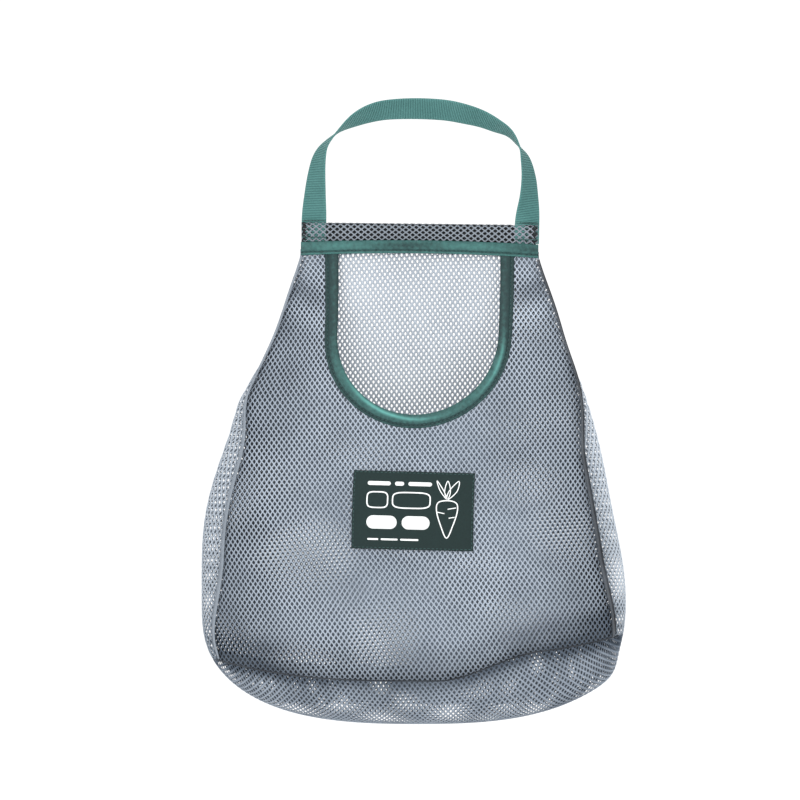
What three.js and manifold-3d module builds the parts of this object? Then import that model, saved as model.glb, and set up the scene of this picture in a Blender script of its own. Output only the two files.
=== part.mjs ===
// Mesh produce bag that hangs from a webbing handle.
//
// Millimetres, +Z up, +X to the bag's right as its front is faced, front towards -Y.
// The bag is drawn with z = 0 on the handle's centreline at the crown, and the whole of it is then
// moved so that the origin is the middle of the flat underside that a hook carries.
import * as THREE from 'three';
import { mergeVertices } from 'three/addons/utils/BufferGeometryUtils.js';
import Module from 'manifold-3d';

const wasm = await Module();
wasm.setup();

// ---- driving dimensions ------------------------------------------------------------------------
const overallHeight = 410; // from the handle's top edge to the lowest point of the bottom
const bodyWidth = 279; // widest, with the bag puffed open
const bodyDepth = 70; // front to back at the same level
const bellyHeight = 81.5; // the widest level above the lowest point
const bottomSquareness = 2.73; // 2 is an ellipse, more is squarer
const sideSwell = 1.1; // how late the sides leave the header's width
const depthSwell = 1.3; // how late the front and back part from each other

const strapWidth = 16;
const strapThickness = 1.2;
const handleSpan = 139; // between the middles of the two legs
const handleRise = 71.9; // from the hinge line up to the handle's crown
const archRise = 45; // the part of the rise that is curved
const archSquareness = 2.2;
const crownLean = 37; // degrees that the webbing leans from upright at the crown
const crownFlat = 12; // length of the flat length at the crown
const strapTuck = 15; // how far each end reaches down inside the header
const hingeLift = 4; // the webbing bends this far above the header's top edge
const foldLimit = 140; // degrees that the handle folds to the front and to the back
const foldClearance = 0.1; // between the folded handle and the strap ends
const tipThickness = 0.2; // of the strap ends, at their tapered tops

const headerWidth = 156;
const headerHeight = 19.6;
const headerTapeWidth = 8.2;
const mouthWidth = 106;
const mouthDrop = 104.7; // from the header tape down to the mouth's lowest point
const mouthTapeWidth = 9;
const labelWidth = 78.5;
const labelHeight = 50.2;
const labelDrop = 37.8; // from the mouth's lowest point to the label's top edge
const bottomPanelRise = 30; // front and back bottom seams above the lowest point, at the middle
const bottomCornerRise = 50; // the same seams at the side corners
const seamAllowance = 6; // turned-in edge at the side and bottom seams

const netThickness = 0.8;
const tapeThickness = 0.8;
const labelThickness = 0.5;
const threadSize = 0.5;
const gap = 0.3; // clearance between pieces that lie face to face
const stitchInset = 2; // stitch rows from the edges of tape and label

// ---- derived sizes -----------------------------------------------------------------------------
const rad = THREE.MathUtils.degToRad;
const lean = rad(crownLean);
const crownTop = (strapWidth / 2) * Math.cos(lean) + (strapThickness / 2) * Math.sin(lean);
const lowest = overallHeight - crownTop - netThickness / 2; // levels run down from the crown's middle
const hingeLevel = handleRise;
const headerTop = hingeLevel + hingeLift;
const headerFoot = headerTop + headerHeight;
const tapeTop = headerFoot - headerTapeWidth;
const panelTop = tapeTop + headerTapeWidth / 2;
const bellyLevel = lowest - bellyHeight;
const belly = (bodyWidth - netThickness) / 2; // half width to the middle of the net
const mouthFoot = headerFoot + mouthDrop;
const mouthRadius = mouthWidth / 2;
const mouthSpring = mouthFoot - mouthRadius; // where the straight sides meet the round foot
const labelLevel = mouthFoot + labelDrop + labelHeight / 2;
// Between the net's front and back layers lie the webbing, or the folded tape and a turned-in seam edge.
const strapRoom = strapThickness / 2 + gap;
const seamRoom = gap + (tapeThickness + gap + netThickness) / 2;
const layerOffset = Math.max(strapRoom, seamRoom) + netThickness / 2; // to the middle of a layer
const swellDepth = bodyDepth / 2 - layerOffset - netThickness / 2;
const sectionAngle = rad(70); // the front and back are each this much of an ellipse either way
const legX = handleSpan / 2;

const netSkin = netThickness / 2;
const tapeFace = netSkin + gap; // tape's near face, from the middle of the net
const swellTop = headerFoot + gap; // the body starts to swell just under the header tape

// ---- the shape of the body ---------------------------------------------------------------------
function swell(level, power) {
  if (level <= swellTop) return 0;
  if (level < bellyLevel) {
    return Math.sin((Math.PI / 2) * ((level - swellTop) / (bellyLevel - swellTop)) ** power);
  }
  return 1;
}

function bottomTaper(level) {
  const down = Math.min(Math.max((level - bellyLevel) / bellyHeight, 0), 1);
  return (1 - down ** bottomSquareness) ** (1 / bottomSquareness);
}

function halfWidth(level) {
  return (headerWidth / 2 + (belly - headerWidth / 2) * swell(level, sideSwell)) * bottomTaper(level);
}

function halfDepth(level) {
  return swellDepth * swell(level, depthSwell) * bottomTaper(level);
}

// Middle of the net at a level, with across running from -1 to 1. side is -1 in front, 1 behind.
function netPoint(across, level, side) {
  const turn = across * sectionAngle;
  const bulge = (Math.cos(turn) - Math.cos(sectionAngle)) / (1 - Math.cos(sectionAngle));
  return new THREE.Vector3(
    (halfWidth(level) * Math.sin(turn)) / Math.sin(sectionAngle),
    side * (layerOffset + halfDepth(level) * bulge),
    -level,
  );
}

function acrossAt(x, level) {
  return Math.asin((x * Math.sin(sectionAngle)) / halfWidth(level)) / sectionAngle;
}

function outward(pointAt, a, b, side) {
  const step = 1e-3;
  const alongA = pointAt(a + step, b).sub(pointAt(a - step, b));
  const alongB = pointAt(a, b + step * 100).sub(pointAt(a, b - step * 100));
  const normal = alongA.cross(alongB).normalize();
  return normal.y * side < 0 ? normal.negate() : normal;
}

// A point that stands off the net by lift, positive outwards.
function offNet(across, level, side, lift) {
  const normal = outward((a, b) => netPoint(a, b, side), across, level, side);
  return netPoint(across, level, side).addScaledVector(normal, lift);
}

function offFront(x, level, lift) {
  return offNet(acrossAt(x, level), level, -1, lift);
}

function seamLevel(across) {
  const rise = bottomPanelRise + (bottomCornerRise - bottomPanelRise) * Math.abs(across) ** 3;
  return lowest - rise;
}

// ---- closed solids -----------------------------------------------------------------------------
// Each row is a pair of point lists, the near and far faces of one strip across the piece.
function loft(rows, closed = false) {
  const count = rows[0].near.length;
  const positions = [];
  for (const row of rows) {
    for (const p of [...row.near, ...[...row.far].reverse()]) positions.push(p.x, p.y, p.z);
  }
  const ring = 2 * count;
  const index = [];
  const quad = (a, b, c, d) => index.push(a, b, c, a, c, d);
  const last = closed ? rows.length : rows.length - 1;
  for (let r = 0; r < last; r += 1) {
    const here = r * ring;
    const next = ((r + 1) % rows.length) * ring;
    for (let i = 0; i < ring; i += 1) {
      const j = (i + 1) % ring;
      quad(here + i, here + j, next + j, next + i);
    }
  }
  if (!closed) {
    const end = (rows.length - 1) * ring;
    for (let i = 0; i < count - 1; i += 1) {
      const back = ring - 1 - i;
      quad(i, back, back - 1, i + 1);
      quad(end + i, end + i + 1, end + back - 1, end + back);
    }
  }
  const geometry = new THREE.BufferGeometry();
  geometry.setAttribute('position', new THREE.Float32BufferAttribute(positions, 3));
  geometry.setIndex(signedVolume(positions, index) < 0 ? flipped(index) : index);
  return geometry;
}

function signedVolume(positions, index) {
  const at = (i) => new THREE.Vector3().fromArray(positions, 3 * i);
  let sum = 0;
  for (let i = 0; i < index.length; i += 3) {
    sum += at(index[i]).dot(at(index[i + 1]).cross(at(index[i + 2])));
  }
  return sum / 6;
}

function flipped(index) {
  const out = [];
  for (let i = 0; i < index.length; i += 3) out.push(index[i], index[i + 2], index[i + 1]);
  return out;
}

function span(from, to, steps) {
  return Array.from({ length: steps + 1 }, (_, i) => from + ((to - from) * i) / steps);
}

// A sheet of even thickness, with pointAt(column, row, lift) for each value of the rows and columns.
function sheet(rowValues, columnValues, pointAt, middle, thickness) {
  return loft(
    rowValues.map((row) => ({
      near: columnValues.map((column) => pointAt(column, row, middle - thickness / 2)),
      far: columnValues.map((column) => pointAt(column, row, middle + thickness / 2)),
    })),
  );
}

// A thread laid through a list of {point, normal, sideways}, square in section.
function thread(stations, closed) {
  const half = threadSize / 2;
  return loft(
    stations.map(({ point, normal, sideways }) => {
      const corner = (s, n) =>
        point.clone().addScaledVector(sideways, s * half).addScaledVector(normal, n * half);
      return { near: [corner(-1, -1), corner(1, -1)], far: [corner(-1, 1), corner(1, 1)] };
    }),
    closed,
  );
}

// Stations of a thread that follows a list of (x, level) places on a surface.
function threadStations(places, surface, closed) {
  return places.map(([x, level], i) => {
    const before = places[closed ? (i + places.length - 1) % places.length : Math.max(i - 1, 0)];
    const after = places[closed ? (i + 1) % places.length : Math.min(i + 1, places.length - 1)];
    const point = surface(x, level, 0);
    const normal = surface(x, level, 1).sub(point).normalize();
    const run = surface(after[0], after[1], 0).sub(surface(before[0], before[1], 0));
    return { point, normal, sideways: normal.clone().cross(run).normalize() };
  });
}

function toSolid(geometry) {
  const bare = geometry.clone();
  for (const name of ['normal', 'uv']) bare.deleteAttribute(name);
  const merged = mergeVertices(bare, 1e-4);
  return new wasm.Manifold(
    new wasm.Mesh({
      numProp: 3,
      vertProperties: new Float32Array(merged.attributes.position.array),
      triVerts: new Uint32Array(merged.index.array),
    }),
  );
}

function fromSolid(solid) {
  const mesh = solid.getMesh();
  const geometry = new THREE.BufferGeometry();
  geometry.setAttribute('position', new THREE.Float32BufferAttribute(mesh.vertProperties, 3));
  geometry.setIndex(Array.from(mesh.triVerts));
  return geometry;
}

// ---- finishes ----------------------------------------------------------------------------------
const cloth = (color, roughness) => () =>
  new THREE.MeshStandardMaterial({ color, roughness, metalness: 0 });
const netGrey = cloth(0xa3acb4, 0.8);
const headerGrey = cloth(0x8f989e, 0.8);
const tapeGreen = cloth(0x4f7f7e, 0.45);
const webbingGreen = cloth(0x5e8f8c, 0.75);
const labelGreen = cloth(0x2b3e3e, 0.6);
const threadGreen = cloth(0x2f5150, 0.6);
const seamGrey = cloth(0x70797f, 0.85);

const bag = new THREE.Group();
const handle = new THREE.Group();

function add(group, name, geometry, finish) {
  const mesh = new THREE.Mesh(geometry, finish());
  mesh.name = name;
  group.add(mesh);
}

// ---- handle ------------------------------------------------------------------------------------
// Half of the handle's centreline, from the crown's flat out to the hinge, as [x, level] points.
function handleHalf(steps) {
  const places = [[crownFlat / 2, 0]];
  const first = Math.asin((crownFlat / 2 / legX) ** (archSquareness / 2));
  for (const turn of span(first, Math.PI / 2, steps).slice(1)) {
    const x = legX * Math.sin(turn) ** (2 / archSquareness);
    places.push([x, archRise - archRise * Math.max(Math.cos(turn), 0) ** (2 / archSquareness)]);
  }
  for (const level of span(archRise, hingeLevel, 4).slice(1)) places.push([legX, level]);
  return places;
}

function handleStrap() {
  const half = handleHalf(24);
  const places = [...[...half].reverse().map(([x, level]) => [-x, level]), ...half];
  const points = places.map(([x, level]) => new THREE.Vector3(x, 0, -level));
  const run = [0];
  for (let i = 1; i < points.length; i += 1) run.push(run[i - 1] + points[i].distanceTo(points[i - 1]));
  const middle = run[run.length - 1] / 2;
  const settled = 20; // the webbing leans evenly this far either side of the crown
  const crownTwist = Math.PI - lean;
  const rows = points.map((point, i) => {
    const before = points[Math.max(i - 1, 0)];
    const after = points[Math.min(i + 1, points.length - 1)];
    const flat = Math.abs(places[i][0]) <= crownFlat / 2;
    const along = flat ? new THREE.Vector3(1, 0, 0) : after.clone().sub(before).normalize();
    const out = new THREE.Vector3(-along.z, 0, along.x);
    const far = (Math.abs(run[i] - middle) - settled) / (middle - settled);
    const twist = crownTwist * (1 - THREE.MathUtils.smoothstep(far, 0, 1));
    const across = out.multiplyScalar(Math.cos(twist));
    across.y = Math.sin(twist);
    return { point, along, across };
  });
  return loft(roundedEnds(rows));
}

// Rows across a length of webbing, with both ends rounded over their thickness about the last point.
function roundedEnds(rows) {
  const strips = rows.map((row) => strapStrip(row, 0, 1));
  for (const turn of [30, 60, 80]) {
    const reach = (strapThickness / 2) * Math.sin(rad(turn));
    const thin = Math.cos(rad(turn));
    strips.unshift(strapStrip(rows[0], -reach, thin));
    strips.push(strapStrip(rows[rows.length - 1], reach, thin));
  }
  return strips;
}

function strapStrip({ point, along, across }, reach, thin) {
  const face = across.clone().cross(along).multiplyScalar((strapThickness / 2) * thin);
  const at = (side, turn) =>
    point
      .clone()
      .addScaledVector(along, reach)
      .addScaledVector(across, (side * strapWidth) / 2)
      .addScaledVector(face, turn);
  return { near: [at(-1, -1), at(1, -1)], far: [at(-1, 1), at(1, 1)] };
}

// A strap end is as thick as the webbing, and its top tapers so that the handle folds past it.
function strapEnd(side) {
  const lift = strapThickness / 2 + foldClearance;
  const depthFor = (half) => (lift - half * Math.cos(rad(foldLimit))) / Math.sin(rad(foldLimit));
  const full = strapThickness / 2;
  const tip = tipThickness / 2;
  const foot = -(headerTop + strapTuck);
  const shape = new THREE.Shape([
    new THREE.Vector2(-full, foot),
    new THREE.Vector2(full, foot),
    new THREE.Vector2(full, -hingeLevel - depthFor(full)),
    new THREE.Vector2(tip, -hingeLevel - depthFor(tip)),
    new THREE.Vector2(-tip, -hingeLevel - depthFor(tip)),
    new THREE.Vector2(-full, -hingeLevel - depthFor(full)),
  ]);
  const geometry = new THREE.ExtrudeGeometry(shape, { depth: strapWidth, bevelEnabled: false });
  geometry.rotateX(Math.PI / 2);
  geometry.rotateZ(Math.PI / 2);
  geometry.translate(side * legX - strapWidth / 2, 0, 0);
  return geometry;
}

// ---- header ------------------------------------------------------------------------------------
function headerLayer(side) {
  const foot = panelTop - gap / 2;
  const geometry = new THREE.BoxGeometry(headerWidth, netThickness, foot - headerTop);
  geometry.translate(0, side * layerOffset, -(headerTop + foot) / 2);
  return geometry;
}

function headerTape(side) {
  const geometry = new THREE.BoxGeometry(headerWidth, tapeThickness, headerTapeWidth);
  const middle = layerOffset + tapeFace + tapeThickness / 2;
  geometry.translate(0, side * middle, -(tapeTop + headerFoot) / 2);
  return geometry;
}

const tapeOutside = layerOffset + tapeFace + tapeThickness;

function headerThread(side) {
  const geometry = new THREE.BoxGeometry(headerWidth - 2 * stitchInset, threadSize, threadSize);
  const middle = tapeOutside + gap + threadSize / 2;
  geometry.translate(0, side * middle, -(headerFoot - stitchInset));
  return geometry;
}

// A row of short slanted stitches across the webbing, just under the header's top edge.
function strapStitch(side) {
  const middle = layerOffset + netSkin + gap + threadSize / 2;
  const reach = strapWidth / 2 - 1;
  const high = headerTop + 2;
  const low = headerTop + 4;
  const places = span(-reach, reach, 8).map((x, i) => [side * legX + x, i % 2 ? low : high]);
  const surface = (x, level, lift) => new THREE.Vector3(x, -middle - lift, -level);
  return thread(threadStations(places, surface, false), false);
}

// ---- net panels --------------------------------------------------------------------------------
// Rows run down a panel: -1 is its top edge, 0 where it starts to swell and 1 its bottom seam.
const netRows = [-1, ...span(0, 1, 25).map((t) => 1 - (1 - t) ** 1.3)];
const netColumns = span(-1, 1, 24);

function panelLevel(across, down) {
  const reach = down < 0 ? swellTop - panelTop - gap / 2 : seamLevel(across) - gap / 2 - swellTop;
  return swellTop + reach * down;
}

function netPanel(side) {
  const at = (across, down, lift) => offNet(across, panelLevel(across, down), side, lift);
  return sheet(netRows, netColumns, at, 0, netThickness);
}

// The mouth's outline, grown outwards by grow, as a shape in x and -level.
function mouthShape(grow) {
  const radius = mouthRadius + grow;
  const shape = new THREE.Shape();
  shape.moveTo(-radius, -(headerTop));
  shape.lineTo(-radius, -mouthSpring);
  shape.absarc(0, -mouthSpring, radius, Math.PI, 2 * Math.PI, false);
  shape.lineTo(radius, -headerTop);
  shape.closePath();
  return shape;
}

function frontPanel() {
  const cut = new THREE.ExtrudeGeometry(mouthShape(tapeThickness + gap), {
    depth: bodyDepth,
    bevelEnabled: false,
    curveSegments: 40,
  });
  cut.rotateX(Math.PI / 2);
  return fromSolid(toSolid(netPanel(-1)).subtract(toSolid(cut)));
}

// Places along the mouth's edge, grown outwards by grow, from its top left to its top right.
function mouthPlaces(grow, start) {
  const radius = mouthRadius + grow;
  const left = span(start, mouthSpring, 8).slice(0, -1).map((level) => [-radius, level]);
  const foot = span(Math.PI, 0, 36).map((turn) => [
    radius * Math.cos(turn),
    mouthSpring + radius * Math.sin(turn),
  ]);
  return [...left, ...foot, ...[...left].reverse().map(([x, level]) => [-x, level])];
}

// The tape is folded over the net's raw edge, so its section is a channel that opens outwards.
function mouthBinding() {
  const start = headerFoot + gap;
  const outer = tapeFace + tapeThickness;
  const edges = mouthPlaces(0, start);
  const wall = mouthPlaces(tapeThickness, start);
  const rim = mouthPlaces(mouthTapeWidth, start);
  const at = ([x, level], lift) => offFront(x, level, lift);
  return loft(
    edges.map((edge, i) => ({
      near: [at(rim[i], outer), at(edge, outer), at(edge, -outer), at(rim[i], -outer)],
      far: [at(rim[i], tapeFace), at(wall[i], tapeFace), at(wall[i], -tapeFace), at(rim[i], -tapeFace)],
    })),
  );
}

function mouthThread() {
  const places = mouthPlaces(mouthTapeWidth - stitchInset, headerFoot + 2 * gap);
  const lift = tapeFace + tapeThickness + gap + threadSize / 2;
  const surface = (x, level, extra) => offFront(x, level, lift + extra);
  return thread(threadStations(places, surface, false), false);
}

// The bottom is one oval panel that curves under from the front seam to the back seam.
function bottomPanel() {
  const edge = 0.97;
  const columns = span(-edge, edge, 28);
  const rows = span(-Math.PI / 2, Math.PI / 2, 12);
  const pointAt = (across, turn) => {
    const level = seamLevel(across) + gap / 2;
    const rim = netPoint(across, level, 1);
    const outline = Math.min(Math.abs(rim.x) / belly, 1);
    const floor = bellyLevel + bellyHeight * (1 - outline ** bottomSquareness) ** (1 / bottomSquareness);
    return new THREE.Vector3(rim.x, rim.y * Math.sin(turn), -(level + (floor - level) * Math.cos(turn)));
  };
  const at = (across, turn, lift) => {
    const step = 1e-3;
    const inside = Math.min(Math.max(turn, rows[0] + step), rows[rows.length - 1] - step);
    const alongX = pointAt(across + step, turn).sub(pointAt(across - step, turn));
    const alongTurn = pointAt(across, inside + step).sub(pointAt(across, inside - step));
    const normal = alongX.cross(alongTurn).normalize();
    return pointAt(across, turn).addScaledVector(normal, -lift);
  };
  return sheet(rows, columns, at, 0, netThickness);
}

// ---- turned-in seam edges ----------------------------------------------------------------------
const allowanceLift = -(netSkin + gap + netThickness / 2);

function sideSeam(side) {
  const columns = span(0, 1, 2);
  const rows = netRows.slice(0, -1);
  const at = (inwards, down, lift) => {
    const rim = panelLevel(1, down);
    const inset = acrossAt(halfWidth(rim) - seamAllowance * inwards, rim);
    return offNet(side * inset, panelLevel(inset, down), 1, lift);
  };
  return sheet(rows, columns, at, allowanceLift, netThickness);
}

function bottomSeam(side) {
  const edge = 0.9;
  const columns = span(0, 1, 2);
  const rows = netColumns.filter((across) => Math.abs(across) <= edge);
  const at = (up, across, lift) =>
    offNet(across, seamLevel(across) - gap - seamAllowance * up, side, lift);
  return sheet(rows, columns, at, allowanceLift, netThickness);
}

// ---- label -------------------------------------------------------------------------------------
function label() {
  const columns = span(-labelWidth / 2, labelWidth / 2, 12);
  const rows = span(labelLevel - labelHeight / 2, labelLevel + labelHeight / 2, 8);
  return sheet(rows, columns, offFront, netSkin + gap + labelThickness / 2, labelThickness);
}

function labelThread() {
  const x = labelWidth / 2 - stitchInset;
  const high = labelLevel - labelHeight / 2 + stitchInset;
  const low = labelLevel + labelHeight / 2 - stitchInset;
  const places = [
    ...span(-x, x, 10).slice(0, -1).map((at) => [at, high]),
    ...span(high, low, 6).slice(0, -1).map((level) => [x, level]),
    ...span(x, -x, 10).slice(0, -1).map((at) => [at, low]),
    ...span(low, high, 6).slice(0, -1).map((level) => [-x, level]),
  ];
  const lift = netSkin + gap + labelThickness + gap + threadSize / 2;
  const surface = (at, level, extra) => offFront(at, level, lift + extra);
  return thread(threadStations(places, surface, true), true);
}

// ---- assembly ----------------------------------------------------------------------------------
add(handle, 'handle_strap', handleStrap(), webbingGreen);
for (const [word, side] of [['left', -1], ['right', 1]]) {
  add(bag, `${word}_strap_end`, strapEnd(side), webbingGreen);
  add(bag, `${word}_strap_stitch`, strapStitch(side), threadGreen);
  add(bag, `${word}_side_seam`, sideSeam(side), seamGrey);
}
for (const [word, side] of [['front', -1], ['back', 1]]) {
  add(bag, `header_${word}`, headerLayer(side), headerGrey);
  add(bag, `header_tape_${word}`, headerTape(side), tapeGreen);
  add(bag, `header_thread_${word}`, headerThread(side), threadGreen);
  add(bag, `${word}_bottom_seam`, bottomSeam(side), seamGrey);
}
add(bag, 'front_panel', frontPanel(), netGrey);
add(bag, 'back_panel', netPanel(1), netGrey);
add(bag, 'bottom_panel', bottomPanel(), netGrey);
add(bag, 'mouth_binding', mouthBinding(), tapeGreen);
add(bag, 'mouth_thread', mouthThread(), threadGreen);
add(bag, 'label', label(), labelGreen);
add(bag, 'label_thread', labelThread(), threadGreen);

// The origin is the middle of the crown's underside, which faces down and to the front.
const underside = new THREE.Vector3(0, -Math.cos(lean), -Math.sin(lean));
const produceBag = new THREE.Group();
produceBag.add(handle, bag);
produceBag.position.copy(underside).multiplyScalar(-strapThickness / 2);

export default produceBag;
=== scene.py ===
"""Looks of a mesh produce bag: knitted net, satin tape, ribbed webbing, thread and a woven label.

Metres, +Z up, the bag's front towards -Y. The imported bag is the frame, and every size that another
piece depends on is read from it.
"""

import logging
import math
from dataclasses import dataclass, field
from enum import Enum
from functools import cached_property
from typing import Callable, Iterable, Optional, Sequence

import bpy
import numpy as np
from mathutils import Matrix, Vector

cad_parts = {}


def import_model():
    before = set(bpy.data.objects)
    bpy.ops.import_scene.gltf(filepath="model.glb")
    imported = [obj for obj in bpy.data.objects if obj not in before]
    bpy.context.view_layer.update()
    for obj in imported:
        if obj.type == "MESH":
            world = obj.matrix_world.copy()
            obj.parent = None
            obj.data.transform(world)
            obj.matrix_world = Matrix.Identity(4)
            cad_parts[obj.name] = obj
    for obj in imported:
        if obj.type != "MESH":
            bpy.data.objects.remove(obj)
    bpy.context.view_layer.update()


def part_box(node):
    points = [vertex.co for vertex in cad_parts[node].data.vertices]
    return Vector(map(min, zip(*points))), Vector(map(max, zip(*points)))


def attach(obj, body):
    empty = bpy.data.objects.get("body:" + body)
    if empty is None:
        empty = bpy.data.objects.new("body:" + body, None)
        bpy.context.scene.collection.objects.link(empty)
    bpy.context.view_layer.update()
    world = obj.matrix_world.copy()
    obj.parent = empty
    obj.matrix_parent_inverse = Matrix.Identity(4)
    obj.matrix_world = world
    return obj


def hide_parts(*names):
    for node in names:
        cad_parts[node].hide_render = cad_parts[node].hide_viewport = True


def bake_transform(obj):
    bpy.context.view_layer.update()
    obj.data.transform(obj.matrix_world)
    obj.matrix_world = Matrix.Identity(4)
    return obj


LOG = logging.getLogger("produce_bag")
MM = 0.001
Array = np.ndarray
Colour = tuple[float, float, float, float]
Lamp = tuple[str, tuple[float, float, float], float, float]


class Side(Enum):
    """Which face of the bag a piece belongs to, with the sign of its Y direction."""

    FRONT = -1
    BACK = 1


# ---- shader maths -----------------------------------------------------------------------------


class Sock:
    """A node socket that takes part in Python arithmetic by adding Math nodes."""

    def __init__(self, tree: bpy.types.NodeTree, socket: bpy.types.NodeSocket) -> None:
        """Keeps the tree and the output socket."""
        self.tree = tree
        self.socket = socket

    def _math(self, operation: str, *others: object) -> "Sock":
        """Adds one Math node.

        Args:
            operation: the Math node's operation.
            others: the further inputs, sockets or numbers.

        Returns:
            The node's value.
        """
        node = self.tree.nodes.new("ShaderNodeMath")
        node.operation = operation
        for slot, value in zip(node.inputs, (self, *others)):
            if isinstance(value, Sock):
                self.tree.links.new(value.socket, slot)
            else:
                slot.default_value = float(value)
        return Sock(self.tree, node.outputs[0])

    def __add__(self, other: object) -> "Sock":
        """Sum."""
        return self._math("ADD", other)

    __radd__ = __add__

    def __sub__(self, other: object) -> "Sock":
        """Difference."""
        return self._math("SUBTRACT", other)

    def __rsub__(self, other: object) -> "Sock":
        """Reflected difference."""
        return self._math("MULTIPLY", -1.0)._math("ADD", other)

    def __mul__(self, other: object) -> "Sock":
        """Product."""
        return self._math("MULTIPLY", other)

    __rmul__ = __mul__

    def sine(self) -> "Sock":
        """Sine, with the value in radians."""
        return self._math("SINE")

    def clipped(self) -> "Sock":
        """The value held between 0 and 1.

        Returns:
            The clamped value.
        """
        out = self._math("ADD", 0.0)
        out.socket.node.use_clamp = True
        return out


class Shader:
    """A material's node tree with its Principled shader, built one finish at a time."""

    def __init__(self, name: str) -> None:
        """Starts an empty Principled material of that name.

        Args:
            name: the material's name.
        """
        self.material = bpy.data.materials.new(name)
        self.material.use_nodes = True
        self.tree = self.material.node_tree
        self.surface = self.tree.nodes["Principled BSDF"]

    def node(self, kind: str, settings: Optional[dict] = None, output: object = 0,
             **values: object) -> Sock:
        """Adds any node.

        Args:
            kind: the node's type.
            settings: its properties, set before its sockets.
            output: the output's name or number to return.
            values: its inputs by name, with _ for a space, as sockets, numbers or colours.

        Returns:
            The output asked for.
        """
        node = self.tree.nodes.new(kind)
        for key, value in (settings or {}).items():
            setattr(node, key, value)
        for key, value in values.items():
            slot = node.inputs[key.replace("_", " ")]
            self._feed(slot, value)
        return Sock(self.tree, node.outputs[output])

    def _feed(self, slot: bpy.types.NodeSocket, value: object) -> None:
        """Links a socket or sets a plain value.

        Args:
            slot: the input to feed.
            value: a wrapped socket, a number or a colour.
        """
        if isinstance(value, Sock):
            self.tree.links.new(value.socket, slot)
        else:
            slot.default_value = value

    def set(self, **values: object) -> "Shader":
        """Sets or links the Principled shader's inputs, with _ for a space.

        Args:
            values: sockets, numbers or colours, by the input's name.

        Returns:
            The shader itself.
        """
        for key, value in values.items():
            self._feed(self.surface.inputs[key.replace("_", " ")], value)
        return self

    def cloth_uv(self) -> tuple[Sock, Sock]:
        """The piece's own lengthways and crossways coordinates, in metres.

        Returns:
            The two coordinates.
        """
        uv = self.node("ShaderNodeUVMap", {"uv_map": "cloth"}, output="UV")
        split = self.node("ShaderNodeSeparateXYZ", output="X", Vector=uv)
        return split, Sock(self.tree, split.socket.node.outputs["Y"])

    def attribute(self, name: str) -> Sock:
        """A number that the mesh holds at each point."""
        return self.node("ShaderNodeAttribute", {"attribute_name": name}, output="Fac")

    def noise(self, scale: float, detail: float) -> Sock:
        """Soft noise from 0 to 1, in cycles per metre.

        Args:
            scale: cycles per metre.
            detail: how many finer layers are added.

        Returns:
            The noise.
        """
        at = self.node("ShaderNodeTexCoord", output="Object")
        return self.node(
            "ShaderNodeTexNoise", output="Fac", Vector=at, Scale=scale, Detail=detail, Roughness=0.55
        )

    def mix(self, factor: Sock, low: Sequence[float], high: Sequence[float]) -> Sock:
        """A colour between two others.

        Args:
            factor: from 0 for low to 1 for high.
            low: the first colour.
            high: the second colour.

        Returns:
            The colour.
        """
        node = self.tree.nodes.new("ShaderNodeMix")
        node.data_type = "RGBA"
        self._feed(node.inputs[0], factor)
        self._feed(node.inputs[6], low)
        self._feed(node.inputs[7], high)
        return Sock(self.tree, node.outputs[2])

    def bump(self, height: Sock, depth: float) -> "Shader":
        """Turns the normal by a height of 0 to 1 that stands for depth in metres.

        Args:
            height: the height, from 0 to 1.
            depth: what a height of 1 stands for, in metres.

        Returns:
            The shader itself.
        """
        normal = self.node(
            "ShaderNodeBump", output="Normal", Height=height, Distance=depth, Strength=1.0
        )
        return self.set(Normal=normal)


def rgb(red: int, green: int, blue: int) -> Colour:
    """A display colour of 0 to 255 a channel, as the linear colour that shaders use.

    Args:
        red: from 0 to 255, as the others.
        green: the green channel.
        blue: the blue channel.

    Returns:
        The linear colour with full alpha.
    """
    linear = [
        c / 12.92 if c <= 0.04045 else ((c + 0.055) / 1.055) ** 2.4
        for c in (red / 255, green / 255, blue / 255)
    ]
    return (*linear, 1.0)


@dataclass(frozen=True)
class NetFinish:
    """Knitted polyester yarn, lighter where the piece's shade is high."""

    name: str
    deep: Colour
    pale: Colour

    def build(self) -> bpy.types.Material:
        """Makes the material.

        Returns:
            The material, which reads the mesh's shade.
        """
        s = Shader(self.name)
        filaments = s.noise(2600.0, 2.0)
        mottle = s.noise(45.0, 2.0)
        tone = (s.attribute("shade") + (mottle - 0.5) * 0.35 + (filaments - 0.5) * 0.3).clipped()
        s.set(Base_Color=s.mix(tone, self.deep, self.pale), Roughness=filaments * 0.2 + 0.5)
        s.set(Sheen_Weight=0.08, Sheen_Roughness=0.5, Specular_IOR_Level=0.3)
        s.bump(filaments, 0.12 * MM)
        return s.material


@dataclass(frozen=True)
class SatinFinish:
    """Satin binding tape with fine threads along it, and a painted sheen and painted shade on the lips
    outside its stitches.
    """

    name: str
    ground: Colour
    light: Colour
    thread_pitch: float = 0.45 * MM

    def build(self) -> bpy.types.Material:
        """Makes the material.

        Returns:
            The material, which reads the piece's cloth map and its shade.
        """
        s = Shader(self.name)
        _, across = s.cloth_uv()
        ribs = (across * (2 * math.pi / self.thread_pitch)).sine() * 0.5 + 0.5
        slubs = s.noise(420.0, 3.0)
        tone = (s.attribute("shade") + (slubs - 0.5) * 0.5 + (ribs - 0.5) * 0.15).clipped()
        s.set(Base_Color=s.mix(tone, self.ground, self.light), Roughness=slubs * 0.16 + 0.34)
        s.set(Specular_IOR_Level=0.3)
        s.bump(ribs * 0.6 + slubs * 0.4, 0.1 * MM)
        return s.material


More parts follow.
